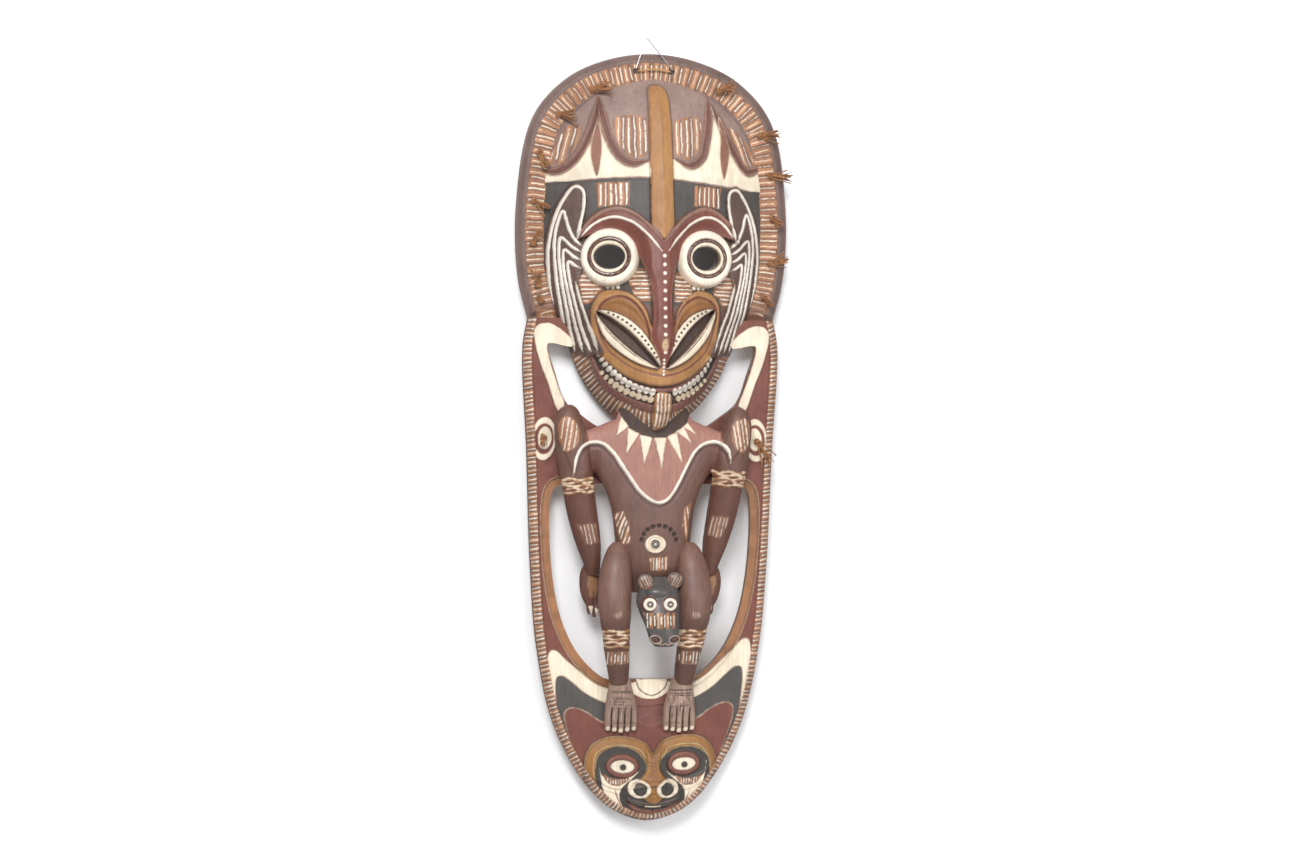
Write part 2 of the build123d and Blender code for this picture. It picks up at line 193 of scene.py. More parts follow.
def inside(u, z, outline):
    p = np.asarray(outline, float)
    hit = np.zeros(u.shape, bool)
    for a, b in zip(p, np.roll(p, -1, 0)):
        if a[1] == b[1]:
            continue
        spans = (a[1] > z) != (b[1] > z)
        hit ^= spans & (u < (b[0] - a[0]) * (z - a[1]) / (b[1] - a[1]) + a[0])
    return hit


def signed(u, z, outline):
    """Distance to a closed outline, below zero inside it."""
    away = measure(u, z, outline, closed=True)[0]
    return np.where(inside(u, z, outline), -away, away)


def wander(u, z, size, seed):
    """Smooth random values between -1 and 1, with features about size mm across."""
    table = np.random.default_rng(seed).uniform(-1, 1, (61, 61))
    x, y = u / size + 500.0, z / size + 500.0
    i, j = np.floor(x).astype(int), np.floor(y).astype(int)
    fx, fy = ease(x - i), ease(y - j)
    low = table[i % 61, j % 61] * (1 - fx) + table[(i + 1) % 61, j % 61] * fx
    high = table[i % 61, (j + 1) % 61] * (1 - fx) + table[(i + 1) % 61, (j + 1) % 61] * fx
    return low * (1 - fy) + high * fy


# ------------------------------------------------------------------ carved surfaces

class Surface:
    """Points across u, up z and forwards d, with their paint, gloss and relief."""

    def __init__(self, u, z, d, colour):
        self.u, self.z, self.d = (np.array(x, float).ravel() for x in (u, z, d))
        self.paint = np.tile(np.array(colour, float), (self.u.size, 1))
        self.gloss = np.full(self.u.size, 0.35)
        self.faces_front = np.ones(self.u.size, bool)
        self.base = None

    def near(self, points, margin):
        """Which points lie in the box round some others, with a margin."""
        low, high = np.min(points, 0) - margin, np.max(points, 0) + margin
        return np.nonzero(self.faces_front & (self.u > low[0]) & (self.u < high[0])
                          & (self.z > low[1]) & (self.z < high[1]))[0]

    def coat(self, idx, cover, colour, gloss=None):
        cover = np.clip(cover, 0, 1)
        self.paint[idx] += (np.array(colour, float) - self.paint[idx]) * cover[:, None]
        if gloss is not None:
            self.gloss[idx] += (gloss - self.gloss[idx]) * cover

    def fill(self, outline, colour=None, lift=0.0, soft=2.0, gloss=None, wobble=0.35, crown=0.0,
             fresh=False):
        """Paints inside an outline, and lifts it by lift mm over an edge soft mm wide.
        crown mm more are added towards its middle. A fresh one starts from the bare form."""
        idx = self.near(outline, soft + 3)
        u, z = self.u[idx], self.z[idx]
        gap = signed(u, z, outline)
        cover = ease(0.5 - gap / soft)
        self.d[idx] += (self.base[idx] + lift - self.d[idx] if fresh else lift) * cover
        if crown:
            self.d[idx] += crown * ease(-gap / (4.0 * abs(crown)))
        if colour is not None:
            shaky = gap + wobble * wander(u, z, 5.0, len(idx) % 997)
            self.coat(idx, 0.5 - shaky / (0.9 * PITCH), colour, gloss)
        return idx, gap

    def line(self, points, width, colour, lift=0.0, closed=False, gloss=None, taper=0.0,
             wobble=0.3, bead=True):
        """Paints a line, and lifts it as a rounded bead or a flat ledge. taper thins its ends."""
        idx = self.near(points, width + 3)
        u, z = self.u[idx], self.z[idx]
        away, along, _ = measure(u, z, points, closed)
        half = np.full(len(idx), width / 2.0)
        if taper:
            ends = np.minimum(along, reached(points)[-1] - along)
            half = half * (0.25 + 0.75 * ease(ends / taper))
        if lift:
            if bead:
                self.d[idx] += lift * np.sqrt(np.clip(1 - (away / half)**2, 0, 1))
            else:
                self.d[idx] += lift * ease(0.5 - (away - half) / 1.8)
        shaky = away - half + wobble * wander(u, z, 4.0, len(idx) % 991)
        self.coat(idx, 0.5 - shaky / (0.9 * PITCH), colour, gloss)

    def dots(self, centres, radius, colour, lift=0.8):
        for u, z in centres:
            idx = self.near([(u, z)], radius + 3)
            away = np.hypot(self.u[idx] - u, self.z[idx] - z)
            self.d[idx] += lift * np.sqrt(np.clip(1 - (away / radius)**2, 0, 1))
            self.coat(idx, 0.5 - (away - radius) / (0.9 * PITCH), colour)

    def strokes(self, idx, across, pitch, seed, gap, share=0.24, groove=0.7, ground=ORANGE,
                second=RUST, mark=WHITE, trim=1.6):
        """Parallel carved strokes: a pale line in each groove, and two grounds between by turns.
        across counts over the strokes; gap is the distance outside the painted place."""
        shaky = across + 0.12 * pitch * wander(self.u[idx], self.z[idx], 14.0, seed)
        shaky = shaky + 0.05 * pitch * wander(self.u[idx], self.z[idx], 4.0, seed + 1)
        count = np.floor(shaky / pitch)
        part = shaky / pitch - count
        dice = np.random.default_rng(seed).uniform(0, 1, (4, STROKE_KINDS))
        which = count.astype(int) % STROKE_KINDS
        width = share * (0.65 + 0.7 * dice[0][which])
        centre = 0.5 + 0.16 * (dice[1][which] - 0.5)
        edge = (np.abs(part - centre) - width / 2) * pitch
        shown = np.clip(0.5 - gap / PITCH, 0, 1)
        edge = np.maximum(edge, gap + trim * dice[2][which] * 1.6)
        odd = (which % 2).astype(float)
        base = np.array(ground)[None] * odd[:, None] + np.array(second)[None] * (1 - odd[:, None])
        base = base * (0.8 + 0.4 * dice[3][which])[:, None]
        self.paint[idx] += (base - self.paint[idx]) * shown[:, None]
        broken = wander(self.u[idx], self.z[idx], 3.0, seed + 2) > 0.62
        pale = np.clip(0.5 - edge / (0.8 * PITCH), 0, 1) * np.where(broken, 0.35, 1.0)
        self.coat(idx, pale * shown, mark)
        ridge = np.sqrt(np.clip(np.abs(part - centre) * 2, 0, 1))
        self.d[idx] += groove * (ridge - 0.7) * ease(shown)

    def hatch(self, outline, angle, pitch, seed, lift=0.0, **how):
        """Strokes that run at an angle, 90 for upright ones, inside an outline."""
        idx = self.near(outline, 4)
        u, z = self.u[idx], self.z[idx]
        gap = signed(u, z, outline) + 0.5 * wander(u, z, 4.0, seed + 7)
        if lift:
            self.d[idx] += lift * ease(0.5 - gap / 2.0)
        a = math.radians(angle)
        self.strokes(idx, u * math.sin(a) - z * math.cos(a), pitch, seed, gap, **how)

    def band(self, line, low, high, pitch, seed, lean=0.0, **how):
        """Strokes across a band that lies from low to high mm to the left of a line."""
        idx = self.near(line, max(abs(low), abs(high)) + 4)
        away, along, side = measure(self.u[idx], self.z[idx], line)
        off = away * side
        gap = np.maximum(low - off, off - high)
        keep = gap < 3
        idx, gap, off, along = idx[keep], gap[keep], off[keep], along[keep]
        self.strokes(idx, along + lean * off, pitch, seed, gap, **how)
        return idx, gap


def blur(values, size):
    """Values on a grid, averaged over a square size mm wide, twice."""
    n = max(1, int(round(size / PITCH / 2)))
    for _ in range(2):
        for axis in (0, 1):
            padded = np.concatenate([np.repeat(values.take([0], axis), n + 1, axis), values,
                                     np.repeat(values.take([-1], axis), n, axis)], axis)
            total = np.cumsum(padded, axis)
            top = total.take(range(2 * n + 1, total.shape[axis]), axis)
            low = total.take(range(0, total.shape[axis] - 2 * n - 1), axis)
            values = (top - low) / (2 * n + 1)
    return values


class Sheet(Surface):
    """A board or a shell: a front and a back surface over one outline, with walls between."""

    def __init__(self, outline, holes, colour):
        outline = np.asarray(outline, float)
        low, high = outline.min(0) - 2 * PITCH, outline.max(0) + 2 * PITCH
        u, z = np.meshgrid(np.arange(low[0], high[0], PITCH), np.arange(low[1], high[1], PITCH))
        self.shape = u.shape
        self.rim = -signed(u, z, outline)
        edge = -self.rim.copy()
        for hole in holes:
            hole = np.asarray(hole, float)
            a, b = hole.min(0) - 4 * PITCH, hole.max(0) + 4 * PITCH
            close = (u > a[0]) & (u < b[0]) & (z > a[1]) & (z < b[1])
            edge[close] = np.maximum(edge[close], -signed(u[close], z[close], hole))
        solid = edge < -0.35 * PITCH
        quads = solid[:-1, :-1] | solid[1:, :-1] | solid[:-1, 1:] | solid[1:, 1:]
        used = np.zeros(u.shape, bool)
        for rows, cols in ((slice(0, -1), slice(0, -1)), (slice(1, None), slice(0, -1)),
                           (slice(0, -1), slice(1, None)), (slice(1, None), slice(1, None))):
            used[rows, cols] |= quads
        slope_z, slope_u = np.gradient(edge, PITCH)
        steep = np.maximum(slope_u**2 + slope_z**2, 0.25)
        moved = used & ~solid
        u = np.where(moved, u - edge * slope_u / steep, u)
        z = np.where(moved, z - edge * slope_z / steep, z)
        super().__init__(u, z, np.zeros(u.shape), colour)
        self.quads = quads
        self.rim = self.rim.ravel()
        self.back = np.zeros(self.u.size)
        self.back_colour = RAW

    def relief(self):
        grid = self.d.reshape(self.shape)
        return (grid - blur(grid, 3.4)).ravel()

    def build(self, name, rows):
        """Makes a piece of the carving, its walls in so many rows from the front to the back."""
        count = self.u.size
        i, j = np.nonzero(self.quads)
        width = self.shape[1]
        a = i * width + j
        front = np.stack([a, a + 1, a + width + 1, a + width], -1)
        wide = np.pad(self.quads, 1)
        walls = []
        for first, (down, right) in enumerate(((-1, 0), (0, 1), (1, 0), (0, -1))):
            open_side = ~wide[i + 1 + down, j + 1 + right]
            walls.append(front[open_side][:, [first, (first + 1) % 4]])
        walls = np.vstack(walls)
        ring = np.unique(walls)
        place_of = np.full(count, -1)
        place_of[ring] = np.arange(len(ring))
        levels = [np.arange(count)]
        extra_u, extra_z, extra_d, extra_paint, extra_gloss = [], [], [], [], []
        for k in range(1, rows):
            share = k / rows
            levels.append(2 * count + (k - 1) * len(ring) + place_of)
            extra_u.append(self.u[ring])
            extra_z.append(self.z[ring])
            extra_d.append(self.d[ring] + (self.back[ring] - self.d[ring]) * share)
            mix = min(1.0, share * 1.6)
            extra_paint.append(self.paint[ring] * (1 - mix) + np.array(self.back_colour) * mix)
            extra_gloss.append(self.gloss[ring])
        levels.append(np.arange(count) + count)
        faces = [front, front[:, ::-1] + count]
        for upper, lower in zip(levels[:-1], levels[1:]):
            faces.append(np.stack([upper[walls[:, 1]], upper[walls[:, 0]],
                                   lower[walls[:, 0]], lower[walls[:, 1]]], -1))
        faces = np.vstack(faces)
        u = np.concatenate([self.u, self.u, *extra_u])
        z = np.concatenate([self.z, self.z, *extra_z])
        d = np.concatenate([self.d, self.back, *extra_d])
        plain = np.tile(np.array(self.back_colour, float), (count, 1))
        paint = np.vstack([self.paint, plain, *extra_paint])
        gloss = np.concatenate([self.gloss, np.full(count, 0.1), *extra_gloss])
        relief = np.concatenate([self.relief(), np.zeros(len(u) - count)])
        carved(piece(name, place(u, z, d), faces, WOOD, paint, gloss, relief))


def piece(name, points, faces, material, paint, gloss, relief, sharp=58.0):
    """A mesh object on the board, from its points and its four-sided faces."""
    keep, faces = np.unique(faces, return_inverse=True)
    faces = faces.reshape(-1, 4)
    mesh = bpy.data.meshes.new(name)
    mesh.vertices.add(len(keep))
    mesh.vertices.foreach_set("co", points[keep].astype(np.float32).ravel())
    mesh.loops.add(faces.size)
    mesh.loops.foreach_set("vertex_index", faces.astype(np.int32).ravel())
    mesh.polygons.add(len(faces))
    mesh.polygons.foreach_set("loop_start", np.arange(0, faces.size, 4, dtype=np.int32))
    mesh.update(calc_edges=True)
    layers(mesh, None if paint is None else paint[keep], gloss[keep], relief[keep])
    dress(mesh, material)
    mesh.set_sharp_from_angle(angle=math.radians(sharp))
    return link(name, mesh, "board")


def layers(mesh, paint, gloss, relief):
    """Stores paint, gloss and relief on a mesh's points for the materials to read."""
    count = len(mesh.vertices)
    if paint is not None:
        layer = mesh.color_attributes.new("paint", "FLOAT_COLOR", "POINT")
        rgba = np.ones((count, 4), np.float32)
        rgba[:, :3] = np.clip(paint, 0, 1)
        layer.data.foreach_set("color", rgba.ravel())
    for name, values in (("gloss", gloss), ("relief", relief)):
        layer = mesh.attributes.new(name, "FLOAT", "POINT")
        layer.data.foreach_set("value", np.asarray(values, np.float32))


def dress(mesh, material):
    """Shades a mesh smooth, in one material."""
    mesh.polygons.foreach_set("use_smooth", np.ones(len(mesh.polygons), bool))
    mesh.materials.append(material)


def carved(thing):
    """Hides the imported carving part."""
    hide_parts("carving")


def link(name, mesh, body):
    thing = bpy.data.objects.new(name, mesh)
    bpy.context.scene.collection.objects.link(thing)
    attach(thing, body)
    return thing


# ------------------------------------------------------------------ materials

class Finish:
    """A node material, built up from small steps."""

    def __init__(self, name, **settings):
        self.material = bpy.data.materials.new(name)
        self.material.use_nodes = True
        self.tree = self.material.node_tree
        self.shader = self.tree.nodes["Principled BSDF"]
        for socket, value in settings.items():
            self.shader.inputs[socket.replace("_", " ")].default_value = value
        self.coords = self.add("ShaderNodeTexCoord").outputs["Object"]

    def add(self, kind, inputs=None, **settings):
        node = self.tree.nodes.new(kind)
        for key, value in settings.items():
            setattr(node, key, value)
        for key, value in (inputs or {}).items():
            if isinstance(value, bpy.types.NodeSocket):
                self.tree.links.new(value, node.inputs[key])
            else:
                node.inputs[key].default_value = value
        return node

    def layer(self, name):
        node = self.add("ShaderNodeAttribute", attribute_name=name)
        return node.outputs["Color" if name == "paint" else "Fac"]

    def noise(self, scale, stretch=(1, 1, 1), detail=5.0, roughness=0.6, distortion=0.0):
        """Noise with so many features to the metre, drawn out along the small stretch axis."""
        moved = self.add("ShaderNodeMapping", {"Vector": self.coords, "Scale": stretch})
        node = self.add("ShaderNodeTexNoise", {
            "Vector": moved.outputs[0], "Scale": scale, "Detail": detail,
            "Roughness": roughness, "Distortion": distortion})
        return node.outputs["Fac"]

    def cells(self, scale):
        node = self.add("ShaderNodeTexVoronoi", {"Vector": self.coords, "Scale": scale})
        return node.outputs["Distance"]

    def span(self, value, low, high, out_low=0.0, out_high=1.0):
        """value from low to high, mapped to out_low to out_high."""
        node = self.add("ShaderNodeMapRange", {
            "Value": value, "From Min": low, "From Max": high,
            "To Min": out_low, "To Max": out_high})
        return node.outputs[0]

    def sum(self, a, b, operation="ADD"):
        return self.add("ShaderNodeMath", {0: a, 1: b}, operation=operation).outputs[0]

    def times(self, a, b):
        return self.sum(a, b, "MULTIPLY")

    def mix(self, share, a, b, blend="MIX"):
        node = self.add("ShaderNodeMix", data_type="RGBA", blend_type=blend)
        for socket, value in ((node.inputs[0], share), (node.inputs[6], a), (node.inputs[7], b)):
            if isinstance(value, bpy.types.NodeSocket):
                self.tree.links.new(value, socket)
            elif isinstance(value, tuple):
                socket.default_value = (*value, 1.0)
            else:
                socket.default_value = value
        return node.outputs[2]

    def grey(self, value):
        return self.add("ShaderNodeCombineColor", {0: value, 1: value, 2: value}).outputs[0]

    def shade(self, tone, value, low, high, dark, light):
        """Makes a colour darker and lighter as a value goes from low to high."""
        return self.mix(1.0, tone, self.grey(self.span(value, low, high, dark, light)), "MULTIPLY")

    def done(self, colour, roughness=None, height=None, strength=0.3, distance=0.0006):
        self.tree.links.new(colour, self.shader.inputs["Base Color"])
        if roughness is not None:
            self.tree.links.new(roughness, self.shader.inputs["Roughness"])
        if height is not None:
            bump = self.add("ShaderNodeBump", {
                "Height": height, "Strength": strength, "Distance": distance})
            self.tree.links.new(bump.outputs[0], self.shader.inputs["Normal"])
        return self.material


def painted_wood():
    """Earth paints rubbed thin over hand-cut wood: grain, colour darkened in the cuts, wear on the
    ridges.
    """
    f = Finish("painted_wood")
    paint, relief = f.layer("paint"), f.layer("relief")
    clouds = f.noise(26.0, detail=3.0)
    grain = f.noise(210.0, (1.0, 1.0, 0.09), detail=7.0, roughness=0.68, distortion=0.6)
    fibre = f.noise(900.0, (1.0, 1.0, 0.06), detail=4.0, roughness=0.6)
    specks = f.noise(1500.0, detail=3.0, roughness=0.75)
    tone = f.shade(paint, clouds, 0.3, 0.7, 0.86, 1.12)
    tone = f.shade(tone, grain, 0.3, 0.72, 0.80, 1.14)
    tone = f.shade(tone, fibre, 0.3, 0.7, 0.92, 1.06)
    rubbed = f.times(f.span(relief, 0.15, 1.1), f.span(grain, 0.38, 0.62))
    tone = f.mix(f.times(rubbed, 0.30), tone, (0.42, 0.29, 0.20))
    dust = f.times(f.span(specks, 0.60, 0.72), f.span(clouds, 0.42, 0.62))
    tone = f.mix(f.times(dust, 0.22), tone, (0.47, 0.37, 0.30))
    # darker in the cuts: the colour goes towards near black where the relief lies below its
    # surroundings
    cut_darkening = f.times(f.span(relief, -0.15, -1.6), f.span(clouds, 0.2, 0.6, 0.55, 1.0))
    tone = f.mix(f.times(cut_darkening, 0.62), tone, (0.055, 0.040, 0.032))
    gloss = f.span(f.layer("gloss"), 0.0, 1.0, 0.80, 0.26)
    rough = f.sum(gloss, f.span(grain, 0.3, 0.7, -0.07, 0.10))
    height = f.sum(f.times(grain, 0.7), f.times(fibre, 0.3))
    height = f.sum(height, f.times(specks, 0.18))
    return f.done(tone, rough, height, 0.45, 0.0005)


def coir():
    f = Finish("coir", Sheen_Weight=0.25)
    along = f.noise(1400.0, detail=4.0)
    tint = f.noise(160.0, detail=2.0)
    colour = f.mix(f.span(tint, 0.35, 0.65), (0.15, 0.052, 0.016), (0.36, 0.145, 0.045))
    colour = f.mix(f.span(along, 0.42, 0.78), colour, (0.44, 0.22, 0.09))
    return f.done(colour, f.span(along, 0.3, 0.7, 0.72, 0.95), along, 0.5, 0.0003)


def cane():
    f = Finish("cane", Coat_Weight=0.15)
    fibre = f.noise(1300.0, (0.05, 1.0, 1.0), detail=5.0)
    patches = f.noise(120.0, detail=2.0)
    colour = f.mix(f.span(fibre, 0.35, 0.7), (0.38, 0.17, 0.06), (0.64, 0.38, 0.17))
    colour = f.mix(f.span(patches, 0.5, 0.7, 0.0, 0.4), colour, (0.22, 0.11, 0.05))
    return f.done(colour, f.span(fibre, 0.3, 0.7, 0.38, 0.6), fibre, 0.4, 0.0002)


def steel_wire():
    f = Finish("steel_wire", Metallic=1.0)
    drawn = f.noise(2600.0, (1.0, 1.0, 0.2), detail=3.0)
    spots = f.noise(420.0, detail=4.0)
    colour = f.mix(f.span(spots, 0.52, 0.70), (0.66, 0.66, 0.65), (0.30, 0.24, 0.20))
    return f.done(colour, f.span(drawn, 0.3, 0.7, 0.20, 0.42), drawn, 0.3, 0.0001)


def paste_inlay():
    """Dark glossy resin with flecks of shell and of old white paint."""
    f = Finish("paste_inlay", Coat_Weight=0.7, Coat_Roughness=0.12)
    flecks = f.cells(620.0)
    tint = f.noise(260.0, detail=4.0)
    colour = f.mix(f.span(tint, 0.40, 0.62), (0.045, 0.018, 0.012), (0.15, 0.055, 0.030))
    pale = f.times(f.span(flecks, 0.24, 0.16), f.span(tint, 0.47, 0.56))
    colour = f.mix(pale, colour, (0.72, 0.62, 0.50))
    return f.done(colour, f.span(tint, 0.3, 0.7, 0.16, 0.36), flecks, 0.35, 0.0004)


def shell():
    """Shell set in dark resin: pale and pearly, with a dark broken middle."""
    f = Finish("shell", Coat_Weight=0.5, Coat_Roughness=0.10)
    layers_of = f.noise(340.0, (1.0, 1.0, 0.5), detail=5.0, distortion=1.5)
    tone = f.shade(f.layer("paint"), layers_of, 0.3, 0.7, 0.75, 1.1)
    tone = f.mix(f.span(layers_of, 0.56, 0.66, 0.0, 0.5), tone, (0.50, 0.44, 0.33))
    return f.done(tone, f.span(layers_of, 0.3, 0.7, 0.12, 0.34), layers_of, 0.35, 0.0003)


WOOD = painted_wood()
COIR = coir()
CANE = cane()
WIRE = steel_wire()
PASTE = paste_inlay()
SHELL = shell()


# ------------------------------------------------------------------ the two boards

def pair(brush, points, *rest, about=0.0, **how):
    """Uses a brush on both sides of the middle line."""
    brush(np.asarray(points, float), *rest, **how)
    other = [(2 * about - u, z) for u, z in points]
    brush(np.array(other), *rest, **how)


HEAD_LINE = curve(both([(161, -363), (174, -310), (177, -215), (157, -104), (114, -53),
                        (60, -27), (0, -18)]))
BODY_RIGHT = [(46, -998), (84, -961), (124, -885), (146, -785), (155, -680), (161, -530),
              (167, -400), (161, -363)]
BODY_LINE = curve(flip(BODY_RIGHT)[::-1] + [(0, -1013)] + BODY_RIGHT)
BODY_HALF = BODY_LINE[len(BODY_LINE) // 2:]
OPENING_HALF = curve([(40, -829), (56, -829), (90, -800), (114, -755), (128, -690), (131, -600),
                      (126, -583), (112, -576)])
OPENING = doubled(OPENING_HALF)
CHIN_GAP = loop([(135, -397), (115, -399), (96, -404), (72, -448), (49, -488), (54, -502),
                 (68, -503), (92, -488), (113, -470), (126, -435)], steps=5)
WIRE_HOLES = [(-23.4, -41.2), (23.4, -41.2)]
WIRE_HOLE_RADIUS = 3.0
HEAD_DEPTH = 14.0           # thickness of the head plate, mm
BODY_DEPTH = 20.0           # of the body board
BULLSEYE_DEPTH = 23.0       # and of its bullseyes
BACK_BEVEL = 6.0            # how far the back's edge stands off the wall

# z, half width, and depth of the face's middle line, from the top of the dome to the chin
FACE_FORM = curve([(-50, 8, 13), (-58, 42, 18), (-76, 80, 34), (-110, 115, 50), (-160, 137, 61),
                   (-225, 145, 69), (-290, 142, 76), (-345, 129, 84), (-400, 108, 89),
                   (-440, 90, 87), (-472, 67, 79), (-492, 45, 69), (-504, 22, 58), (-508, 8, 54)])
CAVITY_FORM = curve([(-84, 20, 14), (-92, 62, 24), (-125, 94, 38), (-170, 113, 47),
                     (-230, 122, 54), (-290, 119, 60), (-345, 107, 67), (-400, 87, 71),
                     (-440, 66, 68), (-468, 42, 57), (-476, 12, 30)])


def form(table, z, column):
    return np.interp(z, table[::-1, 0], table[::-1, column])


def outline_of(table):
    return np.vstack([np.stack([table[::-1, 1], table[::-1, 0]], -1),
                      np.stack([-table[:, 1], table[:, 0]], -1)])


def swelling(u, z, table, back):
    """Depth of a rounded form over the board, from its half widths and middle depths."""
    off = np.abs(u) / np.maximum(form(table, z, 1), 1.0)
    body = (1 - np.minimum(off, 1.0)**1.6)**0.85
    return back + (form(table, z, 2) - back) * body - 40 * np.maximum(off - 1, 0)


def cut_marks(surface, depth):
    """Leaves the shallow facets of a chisel and rasp on a surface."""
    u, z = surface.u, surface.z
    surface.d += depth * wander(u, z, 11.0, 5) + 0.45 * depth * wander(u, z * 0.6, 4.5, 6)


def head_plate():
    """The domed board round the face: a plain rim and a band of painted strokes."""
    holes = [oval(u, z, WIRE_HOLE_RADIUS, WIRE_HOLE_RADIUS) for u, z in WIRE_HOLES]
    s = Sheet(HEAD_LINE, [outline_of(CAVITY_FORM), *holes], RIM)
    rim = s.rim
    s.d[:] = HEAD_DEPTH
    cut_marks(s, 0.22)
    s.d -= 5.5 * (1 - ease(rim / 13.0)) ** 1.5
    s.gloss[:] = 0.45
    s.band(HEAD_LINE, 12.0, 37.0, 7.3, 21, groove=1.2, share=0.19, trim=2.6, mark=CREAM)
    step = np.abs(rim - 11.4)
    s.d -= 0.9 * np.clip(1 - step / 1.4, 0, 1)
    low = s.z < -330
    s.coat(np.nonzero(low)[0], ease((-330 - s.z[low]) / 25.0) * ease((rim[low] - 8) / 4), RUST)
    for u, z in WIRE_HOLES:
        idx = s.near([(u, z)], 6)
        away = np.hypot(s.u[idx] - u, s.z[idx] - z) - WIRE_HOLE_RADIUS
        s.coat(idx, 1.2 - away / 1.6, BLACK)
        s.d[idx] -= 0.8 * np.clip(1 - away / 1.8, 0, 1)
    s.back[:] = BACK_BEVEL * ease((rim - 11.0) / 4.0)
    s.build("head_plate", rows=3)


def side_frames(s):
    """The cream corner bands of the maroon frames, and their bullseyes."""
    corner = loop([(-154, -381), (-149, -373), (-136, -370), (-119, -378), (-104, -394),
                   (-108, -404), (-123, -399), (-136, -397), (-134, -415), (-121, -455),
                   (-114, -474), (-118, -487), (-124, -480), (-136, -446), (-148, -414)], steps=5)
    pair(s.fill, corner, CREAM, lift=2.4, soft=2.4, gloss=0.3)
    for side, u, z in ((-1, -140, -519), (1, 137, -519)):
        s.fill(oval(u, z, 16.2, 28.0, 4 * side), CREAM, lift=2.6, soft=2.0, gloss=0.3)
        s.fill(oval(u, z, 12.8, 20.0, 4 * side), MAROON, lift=-1.1, soft=1.6)
        s.fill(oval(u - side, z + 1, 9.0, 14.8, 4 * side), CREAM, lift=1.1, soft=1.6, gloss=0.3)


def opening_border(s):
    """The ochre ledge round the big opening."""
    found = [s.band(half, -10.5, 3.0, 40.0, seed, ground=LEDGE, second=LEDGE, mark=LEDGE,
                    groove=0.0)
             for seed, half in ((30, OPENING_HALF), (31, flip(OPENING_HALF)[::-1]))]
    for idx, gap in found:
        s.d[idx] -= 2.2 * ease(0.5 - gap / 1.6)
        s.gloss[idx] = 0.45
    pair(s.line, offset_line(OPENING_HALF, -11.2), 1.3, (0.42, 0.30, 0.20), lift=0.5)


def offset_line(line, distance):
    """A line moved sideways, to its left for a positive distance."""
    p = np.asarray(line, float)
    run = unit(np.gradient(p, axis=0))
    return p + distance * np.stack([-run[:, 1], run[:, 0]], -1)


def wings(s):
    """Nested cream, black and maroon wings, and the half disc between the feet."""
    cream = curve([(0, -826), (26, -833), (50, -838), (72, -829), (90, -814), (108, -798),
                   (123, -784), (130, -785), (134, -800), (133, -822), (128, -850), (117, -884),
                   (98, -925), (50, -965), (0, -965)])
    black = curve([(0, -864), (40, -861), (63, -854), (84, -842), (99, -829), (112, -819),
                   (120, -819), (122.5, -830), (121, -852), (118, -877), (108, -906), (88, -940),
                   (40, -960), (0, -960)])
    maroon = curve([(0, -872), (40, -886), (63, -881), (79, -870), (94, -863), (105, -863),
                    (110, -868), (110, -879), (105, -897), (94, -927), (79, -955), (40, -975),
                    (0, -975)])
    for outline, colour, lift, tilt in ((cream, CREAM, 2.6, 0.058), (black, CHARCOAL, -1.4, 0.05),
                                        (maroon, MAROON, 1.8, 0.03)):
        whole = doubled(outline)
        whole[:, 1] += tilt * whole[:, 0]
        s.fill(whole, colour, lift=lift, soft=2.2, gloss=0.4)
        edges = whole[8:len(outline) - 14], whole[len(outline) + 14:-8]
        for edge in edges:
            s.line(edge, 1.0, (0.45, 0.33, 0.25), wobble=0.5)
    bib = loop([(-30, -829), (-26, -843), (-10, -853), (12, -853), (27, -842), (31, -829),
                (28, -872), (0, -890), (-24, -872)])
    s.fill(bib, (0.20, 0.078, 0.06), lift=-0.8, soft=3)
    disc = np.vstack([[(-18, -829)], curve([(-18, -830), (-13, -842), (3, -850), (18, -842),
                                            (24, -830)]), [(24, -829)]])
    s.fill(disc, CREAM, lift=1.6, soft=2.0, gloss=0.3)
    s.line(disc, 1.2, (0.09, 0.05, 0.04), lift=-0.6)


